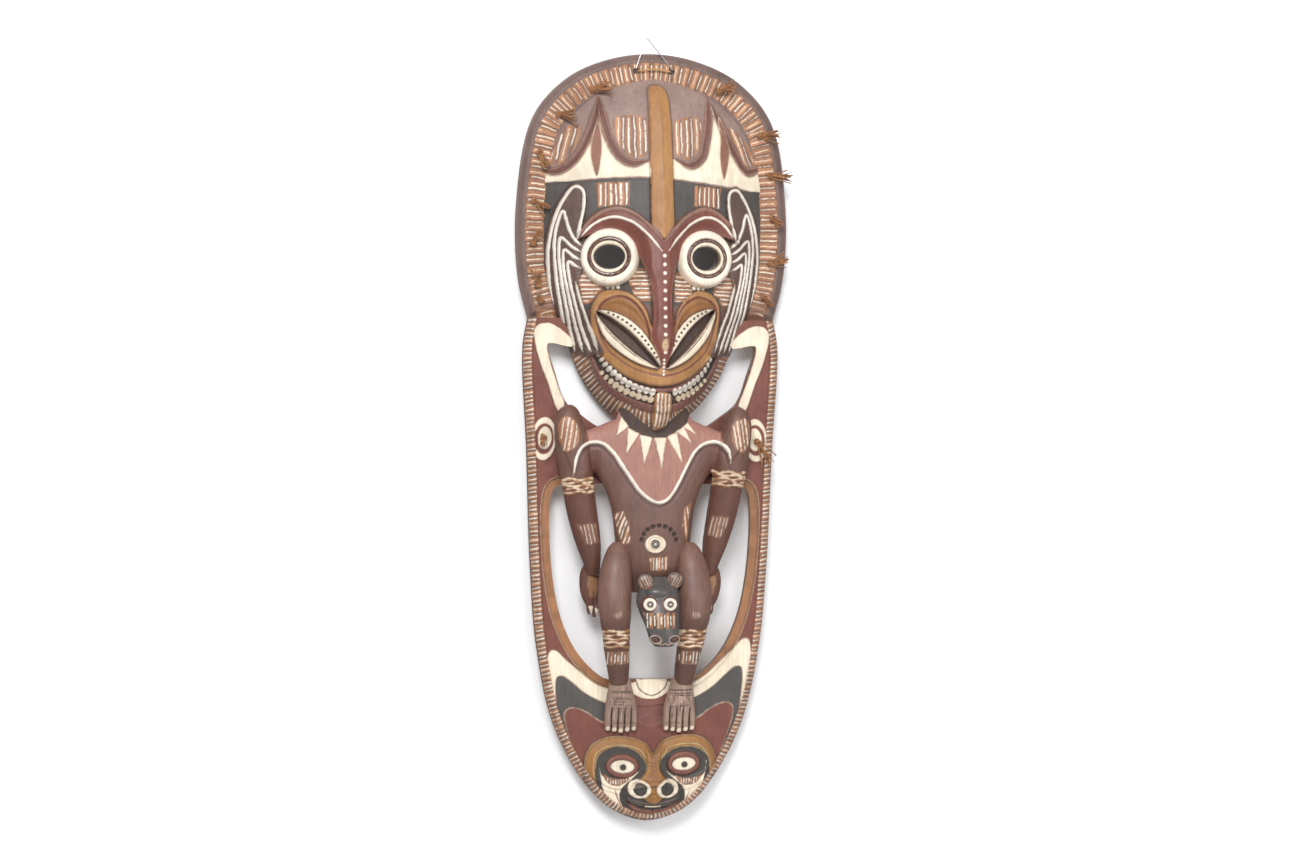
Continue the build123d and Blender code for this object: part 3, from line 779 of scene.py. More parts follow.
def lower_face(s):
    """The broad spirit face at the foot of the board."""
    x = 4.0
    heart = loop([(5, -924), (-6, -911), (-31, -903), (-61, -905), (-79, -918), (-84, -945),
                  (-76, -968), (-58, -989), (-34, -1002), (4, -1009), (40, -1002), (64, -986),
                  (80, -964), (87, -940), (84, -920), (69, -904), (42, -901), (17, -909)], steps=6)
    s.fill(heart, HEART, lift=7.5, soft=5.0, crown=2.5, gloss=0.5)
    s.line(heart, 1.3, (0.40, 0.29, 0.18), closed=True)
    s.line(offset_line(heart, 10.5), 1.2, (0.46, 0.34, 0.18), lift=0.5)
    dark = loop([(-71, -942), (-67, -926), (-51, -916), (-30, -916), (-12, -926), (-4, -941),
                 (-10, -955), (-24, -966), (-30, -978), (-22, -990), (4, -996), (4, -1006),
                 (-30, -1001), (-54, -988), (-68, -966)], steps=6)
    pair(s.fill, dark, BLACK, about=x, lift=-2.2, soft=2.4, gloss=0.55)
    pair(s.line, dark[:48], 1.0, (0.50, 0.40, 0.24), about=x)
    muzzle = loop([(-34, -972), (-20, -962), (4, -958), (28, -962), (42, -972), (38, -990),
                   (4, -1003), (-30, -990)])
    s.fill(muzzle, BLACK, lift=3.0, soft=7.0, crown=1.5)
    nose = loop([(-4, -920), (4, -926), (13, -920), (13, -943), (22, -958), (31, -966),
                 (22, -976), (9, -988), (0, -988), (-14, -976), (-23, -966), (-13, -958),
                 (-4, -943)])
    s.fill(nose, HEART, lift=3.4, soft=3.0, crown=2.4, gloss=0.5)
    for k in range(5):
        s.line([(x - 4, -927 - 4.2 * k), (x + 4, -928.5 - 4.2 * k)], 1.5, RUST, lift=-0.5)
    for k in range(5):
        reach = 7 + 1.6 * k
        top = -946 - 5.2 * k
        s.line([(x - reach, top - 8), (x, top), (x + reach, top - 8)], 1.3, RUST, lift=-0.5)
    cheek = loop([(-66, -934), (-63, -951), (-50, -957), (-34, -957), (-21, -952), (-14, -947),
                  (-24, -957), (-36, -968), (-39, -981), (-33, -995), (-29, -1001),
                  (-45, -990), (-58, -976), (-63, -958)], steps=5)
    pair(s.fill, cheek, CREAM, about=x, lift=1.6, soft=1.6, gloss=0.35)
    fringe = loop([(-61, -950), (-50, -955), (-34, -955), (-24, -952), (-31, -961), (-44, -965),
                   (-56, -960)], steps=4)
    pair(s.hatch, fringe, 84, 3.4, 41, about=x, ground=RUST, second=(0.30, 0.13, 0.06),
         share=0.30, groove=0.5)
    pair(s.line, curve([(-46, -969), (-41, -982), (-34, -998)]), 1.5, MAROON, about=x, taper=12)
    for side in (-1, 1):
        u, z = x + side * 40, -938 + side * 1.5
        s.fill(oval(u, z, 21.5, 15.2, 4 * side), MAROON, lift=3.4, soft=2.6, crown=1.0, gloss=0.5)
        s.fill(oval(u, z - 0.5, 15.5, 8.4, 4 * side), CREAM, lift=-1.6, soft=1.6, gloss=0.5)
        s.line(oval(u, z - 0.5, 15.9, 8.8, 4 * side), 0.9, BLACK, closed=True)
        s.fill(oval(u + 1, z - 1.5, 4.2, 4.2), BLACK, lift=0.9, soft=1.4, gloss=0.8)
        near_nose = x + side * 17.5
        s.fill(oval(near_nose + side, -969, 15.0, 12.0, 12 * side), CREAM, lift=3.4, soft=2.6,
               gloss=0.4)
        s.fill(oval(near_nose, -969, 8.8, 8.8), BLACK, lift=-1.2, soft=1.2)
    mouth = loop([(-31, -985), (-16, -991), (4, -993), (24, -991), (40, -984), (26, -996),
                  (4, -1001), (-17, -997)])
    s.fill(mouth, BLACK, lift=-2.0, soft=2.0)
    s.line(curve([(-30, -987), (-14, -997), (4, -1000), (22, -997), (38, -986)]), 5.0, MAROON,
           lift=2.4, taper=14)
    s.line(curve([(-28, -983), (-12, -987), (4, -989), (20, -987), (36, -982)]), 2.6,
           (0.09, 0.06, 0.05), lift=1.2, taper=10)
    s.dots([(x - 9 + 3 * k, -992.5 + 0.03 * (k - 3)**2) for k in range(7)], 1.25, CREAM, 0.6)
    s.dots([(x - 17 + 5.6 * k, -1005.5 + 0.25 * (k - 3)**2) for k in range(7)], 1.35, CREAM, 0.6)


def body_board():
    """The long board under the head: frames, wings and the lower face."""
    lower_cavity = CAVITY_FORM[form(CAVITY_FORM, CAVITY_FORM[:, 0], 0) < -350]
    cut = np.vstack([[(-106, -350)], [(106, -350)],
                     np.stack([lower_cavity[:, 1], lower_cavity[:, 0]], -1),
                     np.stack([-lower_cavity[::-1, 1], lower_cavity[::-1, 0]], -1)])
    s = Sheet(doubled(BODY_HALF), [OPENING, CHIN_GAP, np.array(flip(CHIN_GAP)), cut], MAROON)
    rim = measure(s.u, s.z, BODY_LINE)[0]
    s.d[:] = BODY_DEPTH
    cut_marks(s, 0.28)
    s.gloss[:] = 0.45
    side_frames(s)
    opening_border(s)
    wings(s)
    lower_face(s)
    s.d -= 7.0 * (1 - ease(rim / 10.0)) ** 1.6
    s.d -= 1.1 * np.clip(1 - np.abs(rim - 11.6) / 1.5, 0, 1)
    s.band(BODY_LINE, 0.0, 10.8, 5.6, 51, groove=1.3, share=0.24, trim=0.6, lean=0.15)
    s.back[:] = BACK_BEVEL * ease((rim - 11.0) / 4.0) * (s.z > -980)
    s.build("body_board", rows=3)


# ------------------------------------------------------------------ the spirit face

EYE_CENTRES = [local((low + high) / 2) for low, high in
               (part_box("eye_inlay_left"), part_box("eye_inlay_right"))]
EYE_TURN = 14.0


def forehead(s):
    """Raised bands in two deep waves over a white field, with striped panels between."""
    white = loop([(-148, -176), (-126, -177), (-106, -163), (-92, -140), (-80, -110), (-73, -86),
                  (-69, -110), (-62, -137), (-50, -159), (-33, -168), (-12, -163), (5, -160),
                  (22, -160), (41, -168), (57, -158), (64, -133), (68, -104), (72, -84),
                  (79, -98), (92, -124), (106, -152), (121, -171), (146, -166), (148, -197),
                  (115, -193), (80, -190), (23, -185), (-11, -183), (-60, -184), (-103, -187),
                  (-148, -192)], steps=5)
    s.fill(white, CREAM, lift=0.9, soft=2.2, gloss=0.3)
    waves = ([(-150, -171), (-138, -175), (-124, -174), (-106, -161), (-92, -138), (-80, -107),
              (-74, -80)],
             [(-73, -78), (-69, -108), (-62, -135), (-50, -157), (-34, -166), (-12, -162)],
             [(22, -160), (41, -167), (57, -157), (65, -131), (69, -102), (70, -74)],
             [(74, -84), (80, -98), (92, -123), (106, -151), (122, -170), (136, -166),
              (148, -158)])
    for points in waves:
        wave = curve(points)
        s.line(wave, 11.0, BEVEL, lift=3.2, bead=False, taper=26, gloss=0.4)
        s.line(wave, 6.0, (0.16, 0.07, 0.055), lift=-1.0, taper=30)
    panels = ([(-133, -128), (-120, -118), (-98, -114), (-97, -128), (-106, -148), (-118, -164),
               (-132, -166), (-139, -160)],
              [(-58, -108), (-12, -107), (-12, -152), (-30, -159), (-44, -152), (-53, -134)],
              [(23, -108), (60, -106), (58, -132), (52, -148), (41, -159), (23, -153)],
              [(96, -112), (112, -122), (127, -138), (137, -156), (128, -164), (115, -158),
               (104, -138)])
    for k, points in enumerate(panels):
        s.hatch(loop(points, steps=4), (76, 90, 90, 112)[k], 6.8, 60 + 3 * k,
                groove=0.9, share=0.21, ground=(0.40, 0.20, 0.105), second=(0.27, 0.155, 0.115),
                trim=5.0)
    spears = ([(-76, -112), (-72, -132), (-72, -150), (-78, -182), (-85, -158), (-84, -138)],
              [(83, -100), (92, -124), (96, -146), (88, -182), (83, -158), (84, -130)])
    for points in spears:
        s.fill(loop(points), (0.25, 0.115, 0.08), lift=1.2, soft=1.8)
        s.line(loop(points), 1.0, (0.55, 0.40, 0.28), closed=True)


def nose_bar(s):
    """The ochre keel that runs down the forehead to a point between the brows."""
    bar = np.array([(-2, -60), (-8, -62), (-11, -70), (-11.5, -100), (-11.5, -160), (-11, -246),
                    (-5, -256), (5, -268), (14, -256), (19.5, -245), (18.5, -200), (17, -130),
                    (16, -84), (13, -68), (7, -61)])
    idx, gap = s.fill(bar, OCHRE, lift=5.5, soft=2.6, gloss=0.5, fresh=True, wobble=0.8)
    crest = curve([(1, -62), (3, -110), (4, -180), (5, -264)])
    away, _, side = measure(s.u[idx], s.z[idx], crest)
    s.d[idx] += 4.5 * np.clip(1 - away / 15.0, 0, 1) * ease(-gap / 3.0)
    # painted shade: the keel's face on one side of its crest is painted a darker ochre
    painted_shade_side = 0.28 * ease(-side * away / 2.0) * (gap < -1)
    s.coat(idx, painted_shade_side, (0.30, 0.13, 0.05))
    crack = np.clip(1 - np.abs(away - 0.8) / 1.0, 0, 1) * (wander(s.u[idx], s.z[idx], 22, 5) > 0)
    s.coat(idx, 0.55 * crack * (gap < -3), (0.22, 0.10, 0.045))


def dark_mask(s):
    """Charcoal from the white field down past the eyes, with its painted patches."""
    dark = loop([(-152, -194), (-103, -189), (-60, -186), (-11, -185.5), (23, -187), (80, -192.5),
                 (115, -195.5), (152, -199), (152, -300), (128, -338), (92, -352), (60, -330),
                 (18, -350), (5, -352), (-10, -350), (-55, -330), (-92, -356), (-130, -338),
                 (-152, -300)], steps=4)
    s.fill(dark, CHARCOAL, lift=-1.2, soft=2.2, gloss=0.42)
    for k, points in enumerate(([(-80, -191), (-37, -189), (-38, -221), (-77, -222)],
                                [(48, -192), (84, -194), (83, -221), (47, -219)])):
        s.hatch(points, 90, 6.4, 75 + k, groove=0.8, share=0.30)
    patches = (((-104, -303), (-74, -303), (-68, -330), (-90, -348), (-98, -344)),
               ((-41, -301), (-11, -301), (-8, -343), (-32, -343), (-36, -322)),
               ((18, -304), (40, -306), (46, -326), (38, -343), (19, -343)),
               ((78, -303), (108, -300), (100, -346), (88, -350), (74, -330)))
    for k, points in enumerate(patches):
        s.hatch(points, 0, 5.4, 81 + k, groove=0.8, share=0.30, trim=2.5)
    for side, middle in ((-1, -57), (1, 54)):
        s.dots([(middle - 6 + 6.2 * k, -324.5 + 0.4 * abs(k - 1)) for k in range(3)], 2.4, WHITE)


def brows_and_nose(s):
    """Maroon brows that sweep together into the long nose."""
    outline = loop([(-103, -263), (-91, -241), (-72, -226), (-49, -222), (-26, -232), (-6, -251),
                    (5, -263), (17, -249), (38, -229), (62, -220), (82, -227), (99, -244),
                    (109, -266), (100, -262), (86, -258), (64, -262), (46, -268), (31, -281),
                    (24, -297), (17.5, -316), (15.5, -334), (15.5, -366), (18, -388),
                    (12, -412), (4, -432), (-3, -412), (-13, -388), (-10.5, -366),
                    (-11.5, -334), (-14, -316), (-20, -299), (-27, -283), (-42, -268),
                    (-62, -262), (-84, -258), (-95, -261)], steps=6)
    idx, gap = s.fill(outline, MAROON, lift=6.5, soft=2.6, gloss=0.6, fresh=True)
    s.d[idx] += 3.0 * ease(-gap / 9.0) * ease((-266 - s.z[idx]) / 30.0)
    # painted highlight: a lighter maroon along the upper bevel of each brow
    for points in ([(-103, -263), (-91, -242.5), (-72, -228), (-49, -224.5), (-26, -234.5),
                    (-6, -253), (4, -267)],
                   [(109, -266), (99, -246), (82, -229.5), (62, -222.5), (38, -231.5),
                    (17, -251), (6, -267)]):
        s.line(curve(points), 6.6, BEVEL, lift=1.2, taper=14, gloss=0.55)
    for points in ([(-100, -262), (-82, -244), (-60, -235.5), (-36, -241.5), (-15, -258.5),
                    (2, -279)],
                   [(11, -278), (27, -257.5), (45, -240.5), (66, -233.5), (87, -242.5),
                    (106, -267)]):
        s.line(curve(points), 3.0, WHITE, lift=0.9, taper=18)
    s.dots([(5.0 - 0.012 * k, -285 - 11.2 * k) for k in range(12)], 2.3, WHITE, 0.9)
    s.dots([(3.4, -418 - 4.6 * k) for k in range(5)], 1.6, WHITE, 0.7)
    chip = loop([(0, -400), (2, -392), (7, -390), (9, -400), (5, -408)], steps=3)
    s.fill(chip, (0.50, 0.34, 0.20), lift=-1.8, soft=1.2)


HAIR = ([(-103, -263), (-98, -240), (-94, -212), (-97, -199), (-106, -196), (-119, -212),
         (-131, -240), (-137, -275), (-136, -310), (-131, -344), (-124, -377), (-118, -404)],
        [(-96, -273), (-106, -263), (-113, -249), (-120, -227), (-127, -245), (-130, -270),
         (-128, -302), (-123, -338), (-116, -372), (-109.5, -405)],
        [(-96, -281), (-109, -273), (-122, -261), (-124.5, -280), (-122, -306), (-116, -341),
         (-109, -374), (-101, -406)],
        [(-96, -291), (-107, -285.5), (-118, -277), (-118.5, -300), (-114, -326), (-108, -353),
         (-100, -381), (-92, -407)],
        [(-97, -301), (-105, -297), (-113, -292), (-111.5, -313), (-106, -338), (-99, -364),
         (-91, -388), (-83, -408)],
        [(-104, -318), (-96, -348), (-86, -376), (-76, -406)])


def hair(s):
    """The swept locks down each side of the face, cream along their ridges."""
    lock = loop([(-99, -264), (-92, -225), (-93, -200), (-104, -190), (-121, -207), (-135, -238),
                 (-141, -275), (-140, -312), (-134, -350), (-127, -382), (-121, -406),
                 (-100, -410), (-69, -410), (-80, -385), (-93, -350), (-101, -318), (-95, -303),
                 (-93, -270)], steps=6)
    pair(s.fill, lock, (0.115, 0.065, 0.052), lift=5.0, soft=2.2, gloss=0.5)
    for k, points in enumerate(HAIR):
        pair(s.line, curve(points), 4.0 - 0.12 * k, WHITE, lift=2.6, taper=10, wobble=0.4)


def muzzle(s):
    """The ochre muzzle with its two long nostrils, each rimmed in cream."""
    outer = loop([(-84, -372), (-83, -346), (-71, -331), (-54, -328), (-34, -336), (-19, -354),
                  (-12, -376), (-4, -392), (12, -392), (16, -376), (23, -354), (39, -335),
                  (54, -328), (69, -331), (80, -346), (81, -372), (75, -404), (57, -427),
                  (32, -444), (0, -451), (-33, -443), (-57, -427), (-76, -404)], steps=6)
    s.fill(outer, OCHRE, lift=7.5, soft=5.0, gloss=0.55)
    lobe = curve([(-76, -368), (-75, -350), (-64, -340), (-50, -337), (-34, -345), (-22, -362),
                  (-16, -380), (-14, -392)])
    # painted shade: the inner lobe between the groove line and each nostril is painted a darker
    # ochre
    shade = np.vstack([lobe, [(-8, -400), (-20, -392), (-42, -368), (-66, -357), (-78, -362)]])
    pair(s.fill, shade, (0.31, 0.135, 0.042), lift=-1.2, soft=3.0)
    pair(s.line, lobe, 3.8, (0.20, 0.07, 0.035), lift=-1.5, taper=10)
    inner = loop([(-77, -370), (-75, -352), (-62, -345), (-48, -346), (-32, -356), (-19, -374),
                  (-8, -402), (4, -420), (15, -402), (22, -374), (35, -355), (50, -345),
                  (64, -345), (74, -352), (75, -370), (68, -396), (50, -416), (28, -430),
                  (2, -438), (-28, -430), (-52, -416), (-69, -396)], steps=5)
    s.line(curve([(-77, -366), (-74, -384), (-66, -402), (-50, -418), (-28, -431), (2, -438),
                  (30, -431), (50, -418), (65, -402), (72, -384), (75, -366)]), 2.8,
           (0.22, 0.085, 0.045), lift=-0.8)
    s.fill(inner, None, lift=-1.5, soft=4.0)
    almonds = ([(-79, -356), (-66, -355), (-40, -366), (-17, -390), (-1, -428), (-26, -424),
                (-54, -406), (-72, -384)],
               [(74, -352), (61, -352), (38, -362), (17, -387), (4, -429), (28, -422),
                (53, -402), (69, -379)])
    for points in almonds:
        almond = loop(points)
        cut = 4 * 8     # the fifth of its points, at the inner end
        upper, lower = almond[:cut + 1], np.vstack([almond[cut:], almond[:1]])[::-1]
        s.fill(almond, CREAM, lift=5.5, soft=2.4, gloss=0.45)
        s.line(almond, 1.4, (0.14, 0.06, 0.045), closed=True)
        s.fill(between(upper, lower, 0.29, 0.80), (0.15, 0.085, 0.065), lift=-2.2, soft=2.0)
        s.fill(between(upper, lower, 0.34, 0.66), (0.11, 0.072, 0.058), lift=-11.0, soft=5.0)
        s.line(between(upper, lower, 0.745, 0.745)[3:45], 1.3, CREAM, lift=0.9, taper=12)
        rim = between(upper, lower, 0.15, 0.15)[3:45]
        s.dots(spaced(rim, 6.4)[1:], 1.7, (0.05, 0.03, 0.025), -0.8)


def between(upper, lower, low, high):
    """The strip between two shares of the way from one edge to the other, both tip to tip."""
    share = np.linspace(0.02, 0.98, 48)
    edges = []
    for edge in (upper, lower):
        gone = reached(edge)
        edges.append(np.stack([np.interp(share * gone[-1], gone, edge[:, k]) for k in (0, 1)], -1))
    a, b = edges
    return np.vstack([a + (b - a) * low, (a + (b - a) * high)[::-1]])


def spaced(line, pitch):
    """Points at even steps along a line."""
    gone = reached(line)
    steps = np.arange(0, gone[-1], pitch)
    return np.stack([np.interp(steps, gone, line[:, k]) for k in (0, 1)], -1)


def mouth_and_jaw(s):
    """Maroon lips, two rows of teeth, a striped tongue and the stroked jaw."""
    edge = curve([(-121, -374), (-108, -402), (-89, -442), (-66, -474), (-34, -498), (4, -506),
                  (44, -497), (72, -471), (93, -440), (111, -400), (121, -372)])
    chin = loop([(-116, -392), (-100, -402), (-86, -412), (-72, -445), (-42, -469), (-6, -482),
                 (22, -480), (54, -466), (76, -442), (88, -408), (100, -400), (116, -388),
                 (118, -520), (-118, -520)], steps=6)
    s.fill(chin, RUST)
    s.band(edge, -1.0, 21.0, 6.4, 91, groove=1.2, share=0.24, lean=0.35, trim=1.5)
    lips = loop([(-90, -404), (-84, -417), (-71, -448), (-41, -471), (-6, -484), (21, -482),
                 (53, -468), (74, -445), (87, -412), (92, -398), (80, -396), (72, -405),
                 (57, -427), (32, -446), (0, -454), (-33, -446), (-57, -429), (-75, -408)], steps=6)
    s.fill(lips, (0.20, 0.085, 0.07), lift=3.2, soft=3.0, gloss=0.5)
    gap = loop([(-80, -409), (-70, -420), (-56, -437), (-33, -451), (2, -459), (38, -451),
                (59, -435), (72, -418), (82, -405), (76, -424), (66, -442), (46, -461),
                (18, -474), (-6, -475), (-40, -463), (-66, -441)], steps=6)
    s.fill(gap, (0.06, 0.035, 0.03), lift=-4.0, soft=2.4)
    middle = curve([(-78, -413), (-66, -430), (-40, -452), (-6, -464), (18, -463.5), (44, -453),
                    (66, -434), (79, -411)])
    for row, off, long in ((0, 4.6, 4.9), (1, -4.9, 4.4)):
        line = offset_line(middle, off)
        centres = spaced(line, 7.6)
        turns = np.gradient(centres, axis=0)
        dice = np.random.default_rng(33 + row)
        for k, (u, z) in enumerate(centres):
            if -9 < u < 20 or (abs(u) > 70 and row == 1):
                continue
            small = 1.0 - 0.35 * ease((abs(u) - 45) / 30.0)
            lean = math.degrees(math.atan2(turns[k][1], turns[k][0])) + dice.uniform(-6, 6)
            tooth = oval(u, z, 3.9 * small, long * small * dice.uniform(0.9, 1.05), 0.5 * lean, 14)
            s.fill(tooth, (0.66, 0.53, 0.38) if row else WHITE, lift=3.4, soft=1.3, gloss=0.5,
                   wobble=0.5)
    tab = loop([(-5, -461), (5, -459), (15, -461), (17, -480), (14, -502), (4, -505), (-5, -502),
                (-6, -480)], steps=5)
    s.fill(tab, OCHRE, lift=5.0, soft=2.4, crown=1.0)
    s.hatch(tab, 90, 5.2, 97, groove=0.8, share=0.34, ground=OCHRE, second=(0.30, 0.13, 0.05))


def socket(s, u, z, depth, side):
    """Cuts the face back to a slanting floor round an eye ring."""
    off = s.u - u
    floor = depth - 12.0 - off * side * math.tan(math.radians(EYE_TURN))
    away = np.hypot(off, s.z - z)
    s.d -= ease((54.0 - away) / 16.0) * np.maximum(s.d - floor, 0)


def spirit_face():
    """The big domed face, carved hollow from behind."""
    collars = [oval(u, z, 31.0, 31.0, count=40) for u, z, _ in EYE_CENTRES]
    s = Sheet(outline_of(FACE_FORM), collars, DOME)
    back = 12 - 8 * ease((-352 - s.z) / 25.0)
    s.d = swelling(s.u, s.z, FACE_FORM, back)
    s.back = np.maximum(swelling(s.u, s.z, CAVITY_FORM, 6.0), 8.0)
    cut_marks(s, 0.35)
    s.gloss[:] = 0.35
    jaw_brown = np.nonzero(s.z < -338)[0]
    s.coat(jaw_brown, ease((-338 - s.z[jaw_brown]) / 3.0), (0.16, 0.085, 0.068))
    for (u, z, depth), side in zip(EYE_CENTRES, (-1, 1)):
        socket(s, u, z, depth, side)
    s.base = s.d.copy()
    forehead(s)
    dark_mask(s)
    nose_bar(s)
    mouth_and_jaw(s)
    muzzle(s)
    brows_and_nose(s)
    hair(s)
    s.back = np.minimum(s.back, s.d - 3.0)
    # painted shade: the hollow back is painted near black, far darker than the bare wood of the
    # other backs, so that the eye holes look dark
    s.back_colour = (0.022, 0.015, 0.011)
    s.build("spirit_face", rows=5)


# ------------------------------------------------------------------ the figure, carved in the round

def quads_of(rows, count, wrapped=False):
    """Faces between rows of points, count to a row. Wrapped ones go on to the first row again."""
    faces = []
    for k in range(rows if wrapped else rows - 1):
        low, high = k * count, (k + 1) % rows * count
        faces += [(low + j, low + (j + 1) % count, high + (j + 1) % count, high + j)
                  for j in range(count)]
    return faces


def capped(rows, count):
    """The same faces, with one at each end."""
    total = rows * count
    return quads_of(rows, count) + [tuple(range(count))[::-1], tuple(range(total - count, total))]


def joined(parts):
    """Points and faces of several parts as one."""
    points, faces, count = [], [], 0
    for more_points, more_faces in parts:
        faces += [tuple(k + count for k in face) for face in more_faces]
        points.append(more_points)
        count += len(more_points)
    return np.vstack(points).tolist(), faces


def outward(mesh, merged=False):
    """Turns all the faces of a mesh outwards, and merges points in the same place if asked."""
    body = bmesh.new()
    body.from_mesh(mesh)
    if merged:
        bmesh.ops.remove_doubles(body, verts=body.verts, dist=1e-6)
    bmesh.ops.recalc_face_normals(body, faces=body.faces)
    body.to_mesh(mesh)
    body.free()


def tube(rows, side=1.0, count=26):
    """Points and faces of a limb: rows of z, across, depth, half width and half thickness."""
    rows = curve(rows, steps=5)
    a = np.linspace(0, 2 * math.pi, count, endpoint=False)
    u = side * rows[:, 1, None] + rows[:, 3, None] * np.cos(a)
    d = rows[:, 2, None] + rows[:, 4, None] * np.sin(a)
    z = np.broadcast_to(rows[:, 0, None], u.shape)
    return place(u.ravel(), z.ravel(), d.ravel()), capped(len(rows), count)


def egg(u, z, d, ru, rz, rd, lean=0.0):
    """Points and faces of an egg shape, leaned sideways by some degrees."""
    steps, count = 11, 18
    b = np.linspace(0.02, math.pi - 0.02, steps)[:, None]
    a = np.linspace(0, 2 * math.pi, count, endpoint=False)[None]
    x, y = ru * np.sin(b) * np.cos(a), rd * np.sin(b) * np.sin(a)
    h = rz * np.cos(b) + 0 * a
    c, s = math.cos(math.radians(lean)), math.sin(math.radians(lean))
    points = place((u + x * c - h * s).ravel(), (z + x * s + h * c).ravel(), (d + y).ravel())
    return points, capped(steps, count)


class Carved(Surface):
    """Limbs grown together into one solid, then carved and painted from the front."""

    def __init__(self, name, limbs, colour, voxel=1.25, smooth=5):
        points, faces = joined(limbs)
        rough = bpy.data.meshes.new(name + "_rough")
        rough.from_pydata(points, [], faces)
        outward(rough)
        blank = bpy.data.objects.new(name + "_rough", rough)
        bpy.context.scene.collection.objects.link(blank)
        grow = blank.modifiers.new("grow", "REMESH")
        grow.mode = "VOXEL"
        grow.voxel_size = voxel * 1.0 / 1000
        even = blank.modifiers.new("even", "SMOOTH")
        even.iterations = smooth
        even.factor = 0.6
        graph = bpy.context.evaluated_depsgraph_get()
        self.mesh = bpy.data.meshes.new_from_object(blank.evaluated_get(graph))
        bpy.data.objects.remove(blank)
        bpy.data.meshes.remove(rough)
        self.mesh.name = name
        count = len(self.mesh.vertices)
        co = np.zeros(count * 3)
        self.mesh.vertices.foreach_get("co", co)
        co = co.reshape(-1, 3) * 1000
        super().__init__(co[:, 0] - MASK_X, co[:, 2], BACK_Y - co[:, 1], colour)
        self.begin = self.d.copy()
        self.normal = np.zeros(count * 3)
        self.mesh.vertices.foreach_get("normal", self.normal)
        self.normal = self.normal.reshape(-1, 3)
        self.all_round(False)

    def all_round(self, wanted=True):
        """Lets the brushes reach the sides and the back as well, or only the front."""
        self.faces_front = (self.normal[:, 1] < FACING) | wanted

    def build(self):
        """Makes a piece of the carving."""
        marks = 0.16 * wander(self.u + 0.7 * self.d, self.z, 9.0, 15)
        points = place(self.u, self.z, self.d) + self.normal * marks[:, None] / 1000
        self.mesh.vertices.foreach_set("co", points.astype(np.float32).ravel())
        rise = self.d - self.begin
        layers(self.mesh, self.paint, self.gloss, np.clip(rise, -1.6, 0.25))
        self.mesh.materials.clear()
        dress(self.mesh, WOOD)
        self.mesh.update()
        carved(link(self.mesh.name, self.mesh, "board"))


ARM = [(-475, 109, 33, 4, 5), (-481, 110, 34, 12, 12), (-495, 110, 35, 18, 18),
       (-520, 106, 35, 22, 20), (-562, 100, 34, 22, 19), (-592, 95, 33, 20.5, 18),
       (-620, 90, 32, 19.5, 17), (-652, 83, 31, 16.5, 15), (-682, 77, 29, 10.5, 11),
       (-694, 75, 27, 8, 8)]
HAND = [(-676, 77, 21, 7, 6), (-690, 79, 22, 12.5, 9), (-710, 79, 22, 13.5, 9),
        (-726, 77, 22, 11, 7.5), (-738, 75, 22, 6, 5)]
TRUNK = [(-490, 0, 32, 42, 12), (-502, 0, 31, 72, 15), (-516, 0, 31, 100, 19),
         (-545, 0, 31, 90, 22), (-572, 0, 33, 68, 22), (-605, 0, 36, 55, 22),
         (-650, 0, 38, 49, 23), (-690, 0, 36, 44, 20), (-716, 0, 30, 30, 12)]
NECK = [(-466, 0, 36, 38, 16), (-488, 0, 34, 48, 17), (-512, 0, 34, 50, 15)]
LEG = [(-650, 46, 44, 6, 7), (-657, 47, 47, 12, 11), (-675, 49, 53, 18, 16),
       (-700, 51, 57, 21.5, 19), (-728, 52, 61, 21.5, 20), (-748, 51, 62, 20, 18),
       (-760, 50, 58, 18.5, 16), (-790, 47, 49, 16.5, 15), (-812, 44, 42, 14.5, 13),
       (-834, 42, 36, 12, 12)]
FOOT = [(-826, 40, 33, 13, 12), (-836, 40, 33, 15, 13), (-850, 39, 31, 18, 12.5),
        (-868, 38, 29, 21, 10), (-880, 38, 27, 20, 7)]
SNOUT = [(-694, 3, 62, 14, 7), (-706, 3, 68, 24, 15), (-722, 2, 73, 28, 20),
         (-738, 3, 79, 26, 20), (-752, 5, 85, 22.5, 17), (-765, 6.5, 89, 20, 14),
         (-774, 7, 91, 18, 11), (-781, 7, 91, 11, 6)]


def woven(s, corners, side):
    """A plaited band round a limb: from its outer top corner to the inner one and back."""
    a, b, c, e = (np.array(p, float) for p in corners)
    s.fill(corners, (0.13, 0.055, 0.035), lift=1.6, soft=2.0, gloss=0.5)
    rows = 4
    for k in range(rows + 1):
        start = a + (e - a) * (k + 0.25) / (rows + 0.5)
        end = b + (c - b) * (k + 0.25) / (rows + 0.5)
        points = []
        for j in range(15):
            t = j / 14
            sway = 1.0 * math.sin(side * 4.2 * t * math.pi + 2.2 * k)
            points.append(start + (end - start) * t + [0, sway])
        wave = curve(points, steps=4)
        s.line(wave, 3.6, ((0.36, 0.17, 0.07), (0.25, 0.10, 0.055))[k % 2], lift=1.7)
        # a pale line on the upper side of each strand: partly white paint, partly a painted
        # highlight
        s.line(wave + [0, 0.9], 1.4, (0.72, 0.56, 0.40), lift=0.2, wobble=1.5)


